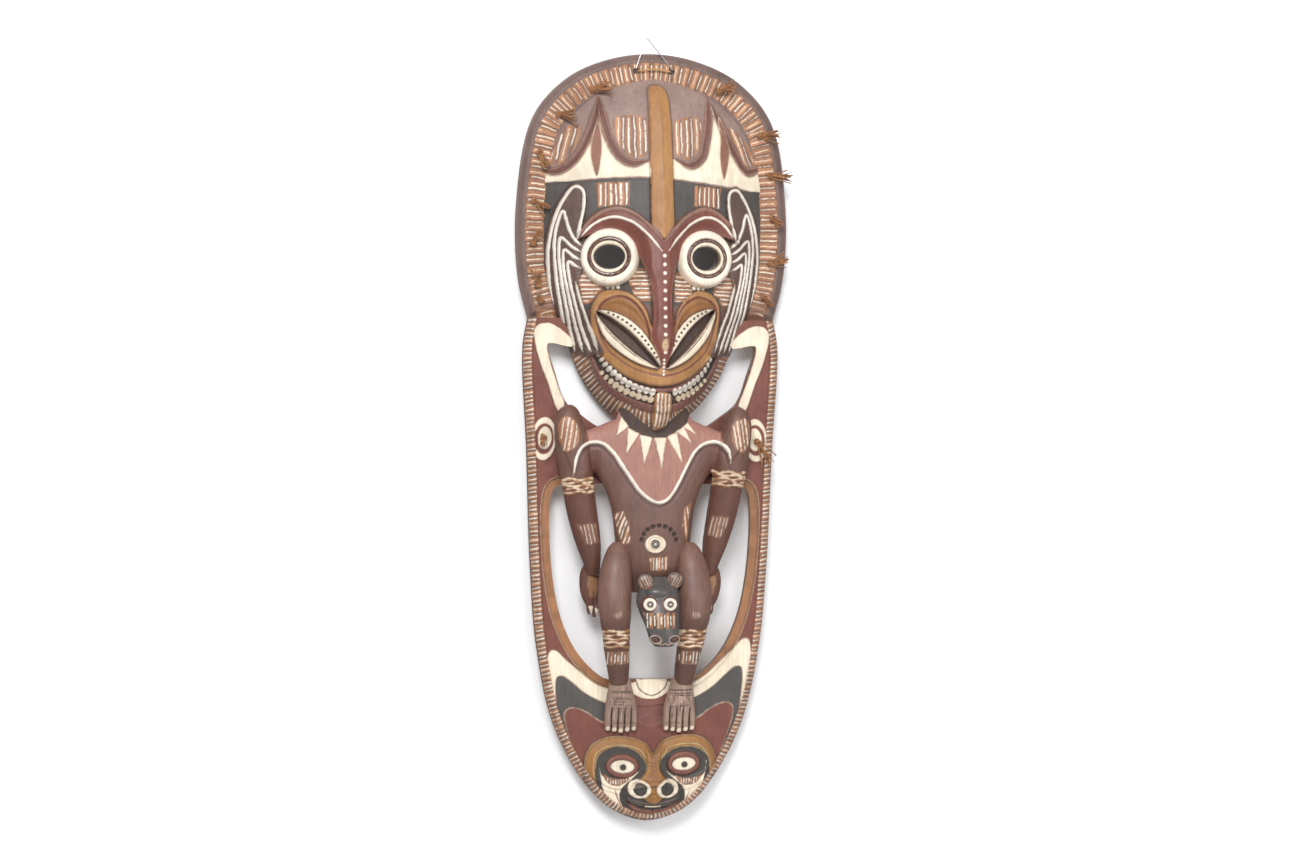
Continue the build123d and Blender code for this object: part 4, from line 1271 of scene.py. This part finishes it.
def trunk():
    """Chest, shoulders, arms and hands, with the cream line and the painted patches."""
    limbs = [tube(TRUNK), tube(NECK)]
    for side in (-1, 1):
        limbs += [tube(ARM, side), tube(HAND, side)]
        limbs += [egg(side * 71, -738, 24, 4.2, 12, 5, side * 14),
                  egg(side * 78, -733, 22, 5.0, 13, 5, side * 8)]
    s = Carved("figure_trunk", limbs, BODY)
    s.gloss[:] = 0.55
    s.all_round()
    arms = np.nonzero((np.abs(s.u) > 66) & (s.z < -520))[0]
    s.coat(arms, ease((-520 - s.z[arms]) / 40) * ease((np.abs(s.u[arms]) - 66) / 6),
           (0.125, 0.050, 0.033))
    s.all_round(False)
    chest_line = curve([(-104, -566), (-101, -546), (-94, -531), (-84, -525), (-70, -525),
                        (-56, -536), (-38, -562), (-20, -587), (-6, -598), (6, -601), (16, -597),
                        (28, -582), (42, -555), (54, -534), (66, -525), (82, -523), (93, -532),
                        (97, -548)])
    plate = np.vstack([chest_line, [(118, -520), (100, -505), (84, -496), (50, -470), (-50, -470),
                                    (-84, -496), (-100, -505), (-124, -520)]])
    s.fill(plate, MAUVE, lift=3.2, soft=3.5, gloss=0.45)
    for side in (-1, 1):
        shoulder = loop(sided(side, [(88, -560), (86, -535), (88, -512), (90, -492), (103, -470),
                                     (128, -474), (138, -520), (134, -570)]))
        s.fill(shoulder, BODY, gloss=0.6, wobble=2.5)
    # painted shadow: a dark maroon strip under the cream chest line, where the line's shadow falls
    s.line(offset_line(chest_line, -3.5), 7.0, (0.17, 0.075, 0.06), lift=-1.2, taper=20)
    s.line(offset_line(chest_line, 1.4), 4.2, (0.93, 0.85, 0.73), lift=1.0, taper=22)
    # the neck under the chin is painted near black: dark paint, and painted shade where the chin
    # overhangs it
    neck = loop([(-40, -498), (-20, -512), (4, -517), (26, -512), (42, -498), (44, -470),
                 (-44, -470)])
    s.fill(neck, (0.06, 0.035, 0.028), lift=-2.0, soft=4.0, gloss=0.3)
    teeth = ([(-43, -490), (-34, -502), (-51, -515)], [(-35, -504), (-21, -511), (-38, -538)],
             [(-20, -513), (-4, -516), (-15, -551)], [(-2, -516), (14, -516), (8, -555)],
             [(15, -515), (28, -509), (35, -549)], [(28, -508), (37.5, -502), (47, -523)],
             [(37, -502), (43, -496), (53, -511)])
    for tooth in teeth:
        s.fill(np.array(tooth), (0.12, 0.055, 0.045), lift=-0.8, soft=3.0)
        s.fill(np.array(tooth), CREAM, lift=3.0, soft=1.6, gloss=0.4)
    for side in (-1, 1):
        s.hatch(loop(sided(side, [(124, -498), (116, -490), (100, -500), (104, -530),
                                  (118, -534)])), 90 + side * 8, 5.6, 101, groove=0.5,
                ground=(0.30, 0.145, 0.085), second=ORANGE, share=0.22)
        high = 5 * side
        s.hatch(sided(side, [(100, high - 623), (74, high - 621), (70, high - 647),
                             (88, high - 650)]), 90 - side * 12, 4.6, 104, groove=0.4,
                ground=BODY, second=RUST, share=0.24, mark=(0.62, 0.47, 0.37))
        s.all_round()
        woven(s, sided(side, [(126, high - 566), (77, high - 564), (75, high - 582),
                              (126, high - 585)]), side)
        s.all_round(False)
        palm = loop(sided(side, [(82, -696), (72, -700), (73, -722), (80, -720)]))
        s.fill(palm, (0.30, 0.15, 0.075), wobble=2.0)
        s.line(sided(side, [(74.5, -716), (74, -744)]), 1.5, BLACK, lift=-1.8)
        s.fill(sided(side, [(67.5, -738), (73, -736), (70, -751)]), CREAM, lift=0.6)
        s.fill(sided(side, [(75.5, -734), (81, -734), (77, -747)]), CREAM, lift=0.6)
    s.hatch([(-52, -614), (-40, -611), (-33, -628), (-31, -650), (-41, -655), (-47, -638)], 72,
            4.6, 110, groove=0.6, ground=ORANGE, second=RUST, share=0.34)
    s.hatch([(38, -606), (48, -599), (46, -622), (42, -648), (36, -632)], 96, 4.6, 112,
            groove=0.6, ground=ORANGE, second=RUST, share=0.34)
    s.hatch([(-8, -670), (17, -668), (16, -686), (-5, -687)], 90, 4.0, 114, groove=0.7,
            ground=ORANGE, second=RUST, share=0.34)
    for k in range(9):
        a = math.radians(8 + 20.5 * k)
        spot = (5 - 23 * math.cos(a), -650 + 21 * math.sin(a))
        s.fill(oval(*spot, 2.9, 2.2, 90 - 8 - 20.5 * k), (0.035, 0.022, 0.018), lift=-3.0,
               soft=1.6)
    navel = local(sum(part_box("navel_inlay"), Vector()) / 2)
    s.fill(oval(navel[0], navel[1], 13.5, 11.4), CREAM, lift=2.2, soft=2.4, gloss=0.45)
    idx, gap = s.fill(oval(navel[0], navel[1], 9.2, 9.0))
    s.d[idx] -= ease(0.5 - gap / 1.4) * np.maximum(s.d[idx] - navel[2] + 0.9, 0)
    s.build()


def leg(side, name):
    s = Carved(name, [tube(LEG, side), egg(side * 51, -741, 75, 8, 8, 6)], (0.19, 0.098, 0.073))
    s.gloss[:] = 0.62
    s.coat(np.arange(s.u.size), ease((-735 - s.z) / 30.0), (0.115, 0.052, 0.037))
    # pale strokes on the knee: partly worn marks, partly a painted highlight where the knee catches
    # the light
    for k in range(4):
        s.line(sided(side, [(47 + 2.6 * k, -737 - (k % 2)), (46.5 + 2.8 * k, -746)]), 1.4,
               (0.55, 0.38, 0.29), lift=-0.5, taper=4)
    s.all_round()
    woven(s, sided(side, [(76, -763), (24, -762), (26, -784), (72, -785)]), side)
    s.hatch(sided(side, [(26, -789), (70, -790), (64, -808), (30, -806)]), 90, 4.4, 121,
            groove=0.5, ground=(0.15, 0.075, 0.05), second=(0.27, 0.125, 0.065), share=0.24,
            trim=3.5)
    s.all_round(False)
    s.build()


def foot(side, name):
    toes = [tube([(-862, 38 + 8.3 * k, 28, 3.6, 6), (-876, 38 + 8.5 * k, 29, 4.3, 6.5),
                  (-890 + 1.1 * abs(k), 38 + 8.5 * k, 28, 4.4, 6.5),
                  (-897 + 1.4 * abs(k), 38 + 8.4 * k, 26, 3.2, 4.5)], side, 14)
            for k in range(-2, 3)]
    s = Carved(name, [tube(FOOT, side), *toes], (0.33, 0.215, 0.165), voxel=1.0, smooth=3)
    s.gloss[:] = 0.25
    dice = np.random.default_rng(77 + side)
    for _ in range(48):
        u, z = dice.uniform(22, 54), dice.uniform(-872, -834)
        long = dice.uniform(4, 12)
        s.line(sided(side, [(u, z), (u + dice.uniform(-1, 1), z - long)]),
               dice.uniform(0.7, 1.3), (WORN, (0.56, 0.42, 0.33), (0.13, 0.07, 0.05))
               [dice.integers(3)], lift=-0.5, taper=3)
    for _ in range(9):
        z = dice.uniform(-868, -838)
        s.line(sided(side, [(24, z), (54, z + dice.uniform(-2, 2))]), 0.8, (0.09, 0.055, 0.045),
               lift=-0.5, taper=8)
    for k in range(-2, 3):
        across = side * (38 + 8.5 * k)
        if k < 2:
            s.line([(across + side * 4.25, -862), (across + side * 4.25, -902)], 1.7,
                   (0.04, 0.026, 0.02), lift=-2.2, taper=5)
        s.fill(oval(across, -894.5 + 1.4 * abs(k), 3.1, 3.3), CREAM, lift=0.5, soft=1.2)
        s.line([(across - 2.6, -884), (across + 2.6, -884)], 0.8, (0.09, 0.055, 0.045), lift=-0.4)
    s.build()


def animal_head():
    limbs = [tube(SNOUT)]
    for side in (-1, 1):
        limbs += [egg(5 + side * 19, -699 + side, 70, 11, 11, 6.5, side * 20),
                  egg(1 + side * 13, -727, 90, 10, 10, 7.5),
                  egg(7 + side * 12, -771, 97, 8, 6, 6, side * 18)]
    limbs.append(egg(1, -714, 84, 17, 9, 9))
    s = Carved("animal_head", limbs, (0.092, 0.083, 0.079), voxel=1.0)
    s.gloss[:] = 0.85
    for side in (-1, 1):
        x = 5 + side * 19
        s.hatch(oval(x, -699 + side, 8.8, 9.0), 90 - side * 25, 3.6, 131, lift=-1.4, groove=0.5,
                ground=(0.33, 0.14, 0.06), second=RUST, share=0.24)
        s.line(oval(1 + side * 13, -727.5, 9.6, 9.6), 2.2, (0.15, 0.06, 0.05), closed=True)
        s.fill(oval(7 + side * 12, -771.5, 7.6, 5.4, side * 18), (0.56, 0.42, 0.34), lift=0.6,
               soft=1.4)
        s.fill(oval(7 + side * 12, -771.5, 6.2, 4.1, side * 18), (0.13, 0.05, 0.042), lift=-4.0,
               soft=1.6, gloss=0.4)
    s.line(curve([(-2, -775), (3, -778), (8, -776.5), (12, -778.5), (16, -775)]), 1.6,
           (0.50, 0.36, 0.29), lift=0.5)
    s.hatch([(-19, -738), (23, -738), (23, -757), (-15, -757)], 90, 4.2, 134, groove=0.5,
            ground=(0.062, 0.058, 0.056), second=(0.33, 0.14, 0.05), share=0.26, trim=4.5)
    s.build()


# ------------------------------------------------------------------ inlays and eye rings

def turned(name, rings, centre, material, colours, side=0, turn=0.0, count=72, gloss=0.4):
    """A turned ring or disc: rings of half width, half height and rise over the centre's plane.
    The outline is closed from the last ring back to the first, unless it ends at a point."""
    u0, z0, d0 = centre
    a = np.linspace(0, 2 * math.pi, count, endpoint=False)
    c, s = math.cos(math.radians(turn)), math.sin(math.radians(turn)) * side
    u, z, d = [], [], []
    for ru, rz, rise in rings:
        x, y = ru * np.cos(a), rz * np.sin(a)
        u.append(u0 + x * c + rise * s)
        z.append(z0 + y)
        d.append(d0 + rise * c - x * s)
    u, z, d = (np.concatenate(v) for v in (u, z, d))
    faces = quads_of(len(rings), count, rings[0][0] > 0.01 and rings[-1][0] > 0.01)
    paint = None
    if colours:
        paint = np.repeat(np.array(colours, float), count, axis=0)
    thing = piece(name, place(u, z, d), faces, material, paint, np.full(len(u), gloss),
                  np.zeros(len(u)), sharp=50)
    outward(thing.data, merged=True)
    return thing


def eye_rings():
    """Tall cream rings round the eye holes, each with an inlaid ring of dark paste."""
    for centre, side, name in zip(EYE_CENTRES, (-1, 1), ("left", "right")):
        rings = [(30.5, 30.5, -26), (39.6, 39.6, -20), (38.6, 38.6, -14), (37.4, 37.2, -8),
                 (36.2, 35.8, -3.4), (34.6, 34.0, -0.8), (32.6, 31.6, 0.5), (30.4, 29.0, 0.9),
                 (28.8, 26.8, 0.5), (28.1, 25.7, -0.2), (27.9, 25.4, -2.2), (23.0, 20.6, -2.2),
                 (22.9, 20.4, -0.1), (22.3, 19.2, 0.5), (21.3, 17.4, 0.1), (20.4, 16.0, -1.4),
                 (20.1, 15.6, -4.0), (19.8, 15.2, -12), (19.8, 15.2, -21), (21.5, 17.5, -25.5)]
        # painted shade: the ring's foot in its socket and the walls inside the eye hole are painted
        # near black
        tint = [(0.05, 0.032, 0.023)] * 2 + [(0.87, 0.78, 0.64)] * 8 + [RUST] * 2 + [CREAM] * 4
        tint.append((0.30, 0.20, 0.13))
        tint += [(0.05, 0.03, 0.024)] * 3
        carved(turned(f"eye_ring_{name}", rings, centre, WOOD, tint, side, EYE_TURN))
        rings = [(27.85, 25.35, -2.1), (27.8, 25.3, 0.1), (27.0, 24.5, 0.75), (25.4, 23.0, 1.0),
                 (23.9, 21.5, 0.75), (23.1, 20.7, 0.1), (23.05, 20.65, -2.1)]
        inlay = turned(f"eye_paste_{name}", rings, centre, PASTE, None, side, EYE_TURN)
        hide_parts(f"eye_inlay_{name}")


def shells():
    """Shell eyes of the animal, and the inlaid navel and nostrils."""
    pale, dark = (0.80, 0.73, 0.60), (0.05, 0.04, 0.035)
    for node, radius, bright in (("animal_eye_left", 8.4, pale), ("animal_eye_right", 8.4, pale),
                                 ("navel_inlay", 8.8, dark),
                                 ("nostril_inlay_left", 6.9, dark),
                                 ("nostril_inlay_right", 6.9, dark)):
        centre = local(sum(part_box(node), Vector()) / 2)
        shares = (0.0, 0.16, 0.30, 0.42, 0.48, 0.62, 0.82, 0.94, 1.0, 1.0)
        rises = (1.5, 1.5, 1.45, 1.3, 1.5, 1.5, 1.35, 1.1, 0.6, -1.2)
        tint = [(0.66, 0.62, 0.55), (0.52, 0.47, 0.40), dark, dark, (0.28, 0.20, 0.14)]
        tint += [bright] * (5 if node != "navel_inlay" else 1)
        tint += [CREAM] * (10 - len(tint))
        disc = turned(node + "_shell", [(radius * s, radius * s * 0.96, r)
                                        for s, r in zip(shares, rises)],
                      centre, SHELL, tint, count=36, gloss=0.8)
        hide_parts(node)


# ------------------------------------------------------------------ coir tassels, wire and cane

# across, up, which way it lies in degrees from the right, its lift off the board, its length
TASSELS = [(-80, -67, 22, 33, 25), (-125, -101, 0, 36, 26), (-149, -150, -68, 20, 22),
           (-156, -212, -29, 26, 23), (-156, -268, 69, 18, 22), (-149, -322, 88, 18, 22),
           (-145, -341, 118, 24, 9), (84, -65, 22, 24, 25), (140, -121, 5, 20, 28),
           (154, -173, -4, 20, 28), (157, -228, -34, 28, 17), (156, -289, 26, 20, 24),
           (147, -331, -60, 24, 16), (-141, -517, -100, 24, 12), (138, -520, -57, 16, 32)]


def strand(path, radius, sides=5):
    """Points and faces of one fibre along a path of u, z and d."""
    p = np.asarray(path, float)
    run = unit(np.gradient(p, axis=0))
    aside = unit(np.cross(run, [0.31, 0.17, 0.93]))
    over = np.cross(run, aside)
    a = np.linspace(0, 2 * math.pi, sides, endpoint=False)
    ring = (p[:, None] + radius * (np.cos(a)[None, :, None] * aside[:, None]
                                   + np.sin(a)[None, :, None] * over[:, None]))
    flat = ring.reshape(-1, 3)
    points = place(flat[:, 0], flat[:, 1], flat[:, 2])
    return points, capped(len(p), sides)


def gather(name, parts, body, material):
    """One object from several sets of points and faces."""
    points, faces = joined(parts)
    mesh = bpy.data.meshes.new(name)
    mesh.from_pydata(points, [], faces)
    outward(mesh)
    dress(mesh, material)
    return link(name, mesh, body)


def tassel(number, across, up, lie, lift, long):
    """A bundle of stiff coir fibres knotted through its hole."""
    dice = np.random.default_rng(400 + number)
    board = BULLSEYE_DEPTH if number > 13 else HEAD_DEPTH
    heart = np.array([across, up, board + 3.8])
    a, b = math.radians(lie), math.radians(lift)
    ahead = np.array([math.cos(a) * math.cos(b), math.sin(a) * math.cos(b), math.sin(b)])
    wide = np.array([-math.sin(a), math.cos(a), 0.0])
    high = np.cross(wide, ahead)
    parts = []
    for _ in range(17):
        fan, rise = dice.normal(0, 0.16), dice.normal(0, 0.09)
        start = heart + wide * dice.uniform(-2.2, 2.2) + high * dice.uniform(-1.6, 1.8)
        reach = long * dice.uniform(0.72, 1.06)
        bend = dice.normal(0, 0.10)
        path = []
        for t in np.linspace(-0.12, 1, 8):
            aside = (fan * t + bend * t * t) * reach
            path.append(start + ahead * reach * t + wide * aside
                        + high * (rise * t * reach) + wide * 0.25 * math.sin(9 * t + fan * 50)
                        - np.array([0, 0.06 * reach * t * t, 0]))
        parts.append(strand(path, dice.uniform(0.40, 0.95)))
    for _ in range(7):
        tilt = dice.uniform(-0.6, 0.6)
        radius = dice.uniform(2.8, 4.1)
        shift = dice.uniform(-1.7, 1.7)
        turns = []
        for t in np.linspace(0, 2 * math.pi * 0.97, 17):
            turns.append(heart + ahead * (shift + tilt * radius * math.cos(t))
                         + wide * radius * math.cos(t) + high * 0.92 * radius * math.sin(t))
        parts.append(strand(turns, dice.uniform(0.7, 1.15)))
    parts.append(egg(heart[0], heart[1], heart[2] - 0.3, 3.0, 3.0, 2.9))
    for k in range(3):
        size = 1.9 + 0.3 * k
        turns = [(across + size * math.cos(t), up + size * math.sin(t),
                  1.9 - 1.1 * k + 0.3 * math.sin(2 * t + k))
                 for t in np.linspace(0, 2 * math.pi * 0.98, 15)]
        parts.append(strand(turns, 0.75))
    parts.append(strand([(across, up, d) for d in np.linspace(-0.8, heart[2], 8)], 1.7, 8))
    for _ in range(7):
        a = dice.uniform(0, 2 * math.pi)
        tip = (across + 6.5 * math.cos(a), up + 6.5 * math.sin(a), dice.uniform(-0.6, 2.2))
        parts.append(strand([(across, up, 1.6), (across + 3 * math.cos(a),
                                                 up + 3 * math.sin(a), 1.0), tip], 0.4))
    name = f"tassel_{number:02d}"
    thing = gather(name + "_coir", parts, name, COIR)
    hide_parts(name)


def cane_and_wire():
    """The strip of cane across the two holes, and the loop of wire with its twisted ends."""
    route = curve([(-20.8, 8), (-20.9, 14), (-19.6, 17.2), (-12, 18.4), (0, 18.8), (12, 18.4),
                   (19.6, 17.2), (20.9, 14), (20.8, 8)], steps=5)
    up = -41.2 + 1.9 * ease((18.5 - np.abs(route[:, 0])) / 14)
    path = np.stack([route[:, 0], up, route[:, 1]], -1)
    strips = [strand(path + (0, 0.55 * (k - 1), 0.25 * (k == 1)), 0.72, 8) for k in range(3)]
    thing = gather("cane_split", strips, "board", CANE)
    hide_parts("cane_strip")
    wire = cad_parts["hanger_wire"]
    wire.data.materials.clear()
    dress(wire.data, WIRE)



head_plate()
body_board()
spirit_face()
trunk()
for side, name in ((-1, "left"), (1, "right")):
    leg(side, f"leg_{name}")
    foot(side, f"foot_{name}")
animal_head()
eye_rings()
shells()
for number, row in enumerate(TASSELS, 1):
    tassel(number, *row)
cane_and_wire()

# ------------------------------------------------------------------ camera, light and floor

SKY = 0.44              # strength of the light from all round
BACKDROP_GAP = 12       # from the mask's back to the backdrop, mm


def backdrop(middle):
    """A pale sheet close behind the mask, seen only from the front."""
    bpy.ops.mesh.primitive_grid_add(x_subdivisions=8, y_subdivisions=8, size=2.0,
                                    location=(middle.x, (BACK_Y + BACKDROP_GAP) / 1000, middle.z),
                                    rotation=(math.pi / 2, 0, 0))
    sheet = bpy.context.object
    sheet.name = "backdrop"
    sheet.scale = (1.1, 0.78, 1.0)
    f = Finish("backdrop", Roughness=1.0)
    colour = f.mix(f.span(f.noise(5.0), 0.3, 0.7), (0.95, 0.955, 0.97), (0.97, 0.97, 0.98))
    sheet.data.materials.append(f.done(colour))
    side, clear = f.add("ShaderNodeNewGeometry"), f.add("ShaderNodeBsdfTransparent")
    mixed = f.add("ShaderNodeMixShader")
    output = next(n for n in f.tree.nodes if n.type == "OUTPUT_MATERIAL")
    front = output.inputs["Surface"].links[0].from_socket
    f.tree.links.new(side.outputs["Backfacing"], mixed.inputs["Fac"])
    f.tree.links.new(front, mixed.inputs[1])
    f.tree.links.new(clear.outputs["BSDF"], mixed.inputs[2])
    f.tree.links.new(mixed.outputs["Shader"], output.inputs["Surface"])
    sheet.visible_diffuse = False
    sheet.visible_glossy = False
    sheet.visible_shadow = False


def studio():
    """Soft even light from in front and above, on white, and a pale floor below."""
    scene = bpy.context.scene
    scene.view_settings.view_transform = "Standard"
    world = bpy.data.worlds.new("studio")
    scene.world = world
    world.use_nodes = True
    nodes, links = world.node_tree.nodes, world.node_tree.links
    seen, dim = nodes["Background"], nodes.new("ShaderNodeBackground")
    seen.inputs["Color"].default_value = (1, 1, 1, 1)
    dim.inputs["Color"].default_value = (0.97, 0.98, 1.0, 1)
    dim.inputs["Strength"].default_value = SKY
    way, both_of = nodes.new("ShaderNodeLightPath"), nodes.new("ShaderNodeMixShader")
    links.new(way.outputs["Is Camera Ray"], both_of.inputs["Fac"])
    links.new(dim.outputs["Background"], both_of.inputs[1])
    links.new(seen.outputs["Background"], both_of.inputs[2])
    links.new(both_of.outputs["Shader"], nodes["World Output"].inputs["Surface"])
    middle = Vector((MASK_X / 1000, BACK_Y / 1000, -0.50))
    for name, spot, size, power in (("key", (-0.7, -2.7, 1.7), 1.2, 86.0),
                                    ("fill", (1.5, -2.6, 0.1), 1.8, 24.0),
                                    ("back", (0.3, 2.6, 1.2), 1.8, 15.0)):
        lamp = bpy.data.lights.new(name, "AREA")
        lamp.size = size
        lamp.energy = power
        thing = bpy.data.objects.new(name, lamp)
        thing.location = middle + Vector(spot)
        thing.rotation_euler = (-Vector(spot)).to_track_quat("-Z", "Y").to_euler()
        scene.collection.objects.link(thing)
    bpy.ops.mesh.primitive_circle_add(vertices=96, radius=1.35, fill_type="NGON",
                                      location=(middle.x, 0.0, -1.40))
    floor = bpy.context.object
    floor.name = "floor"
    f = Finish("floor", Roughness=0.9)
    floor.data.materials.append(f.done(f.mix(f.span(f.noise(8.0), 0.3, 0.7), (0.80, 0.79, 0.78),
                                             (0.84, 0.83, 0.82))))
    backdrop(middle)


def camera():
    """Level with the mask's middle, 9 degrees to its left, and rolled by half a degree."""
    aim = Vector((MASK_X / 1000, (BACK_Y - 8) / 1000, -0.511))
    turn, away = math.radians(9.0), 3.2
    lens = bpy.data.cameras.new("camera")
    lens.sensor_width = 36.0
    lens.lens = 36.0 * away / 1.69
    thing = bpy.data.objects.new("camera", lens)
    thing.location = aim + Vector((-math.sin(turn) * away, -math.cos(turn) * away, 0))
    look = (aim - thing.location).to_track_quat("-Z", "Y").to_matrix()
    roll = Matrix.Rotation(math.radians(0.53), 3, "Z")
    thing.rotation_euler = (look @ roll).to_euler()
    bpy.context.scene.collection.objects.link(thing)
    bpy.context.scene.camera = thing


studio()
camera()
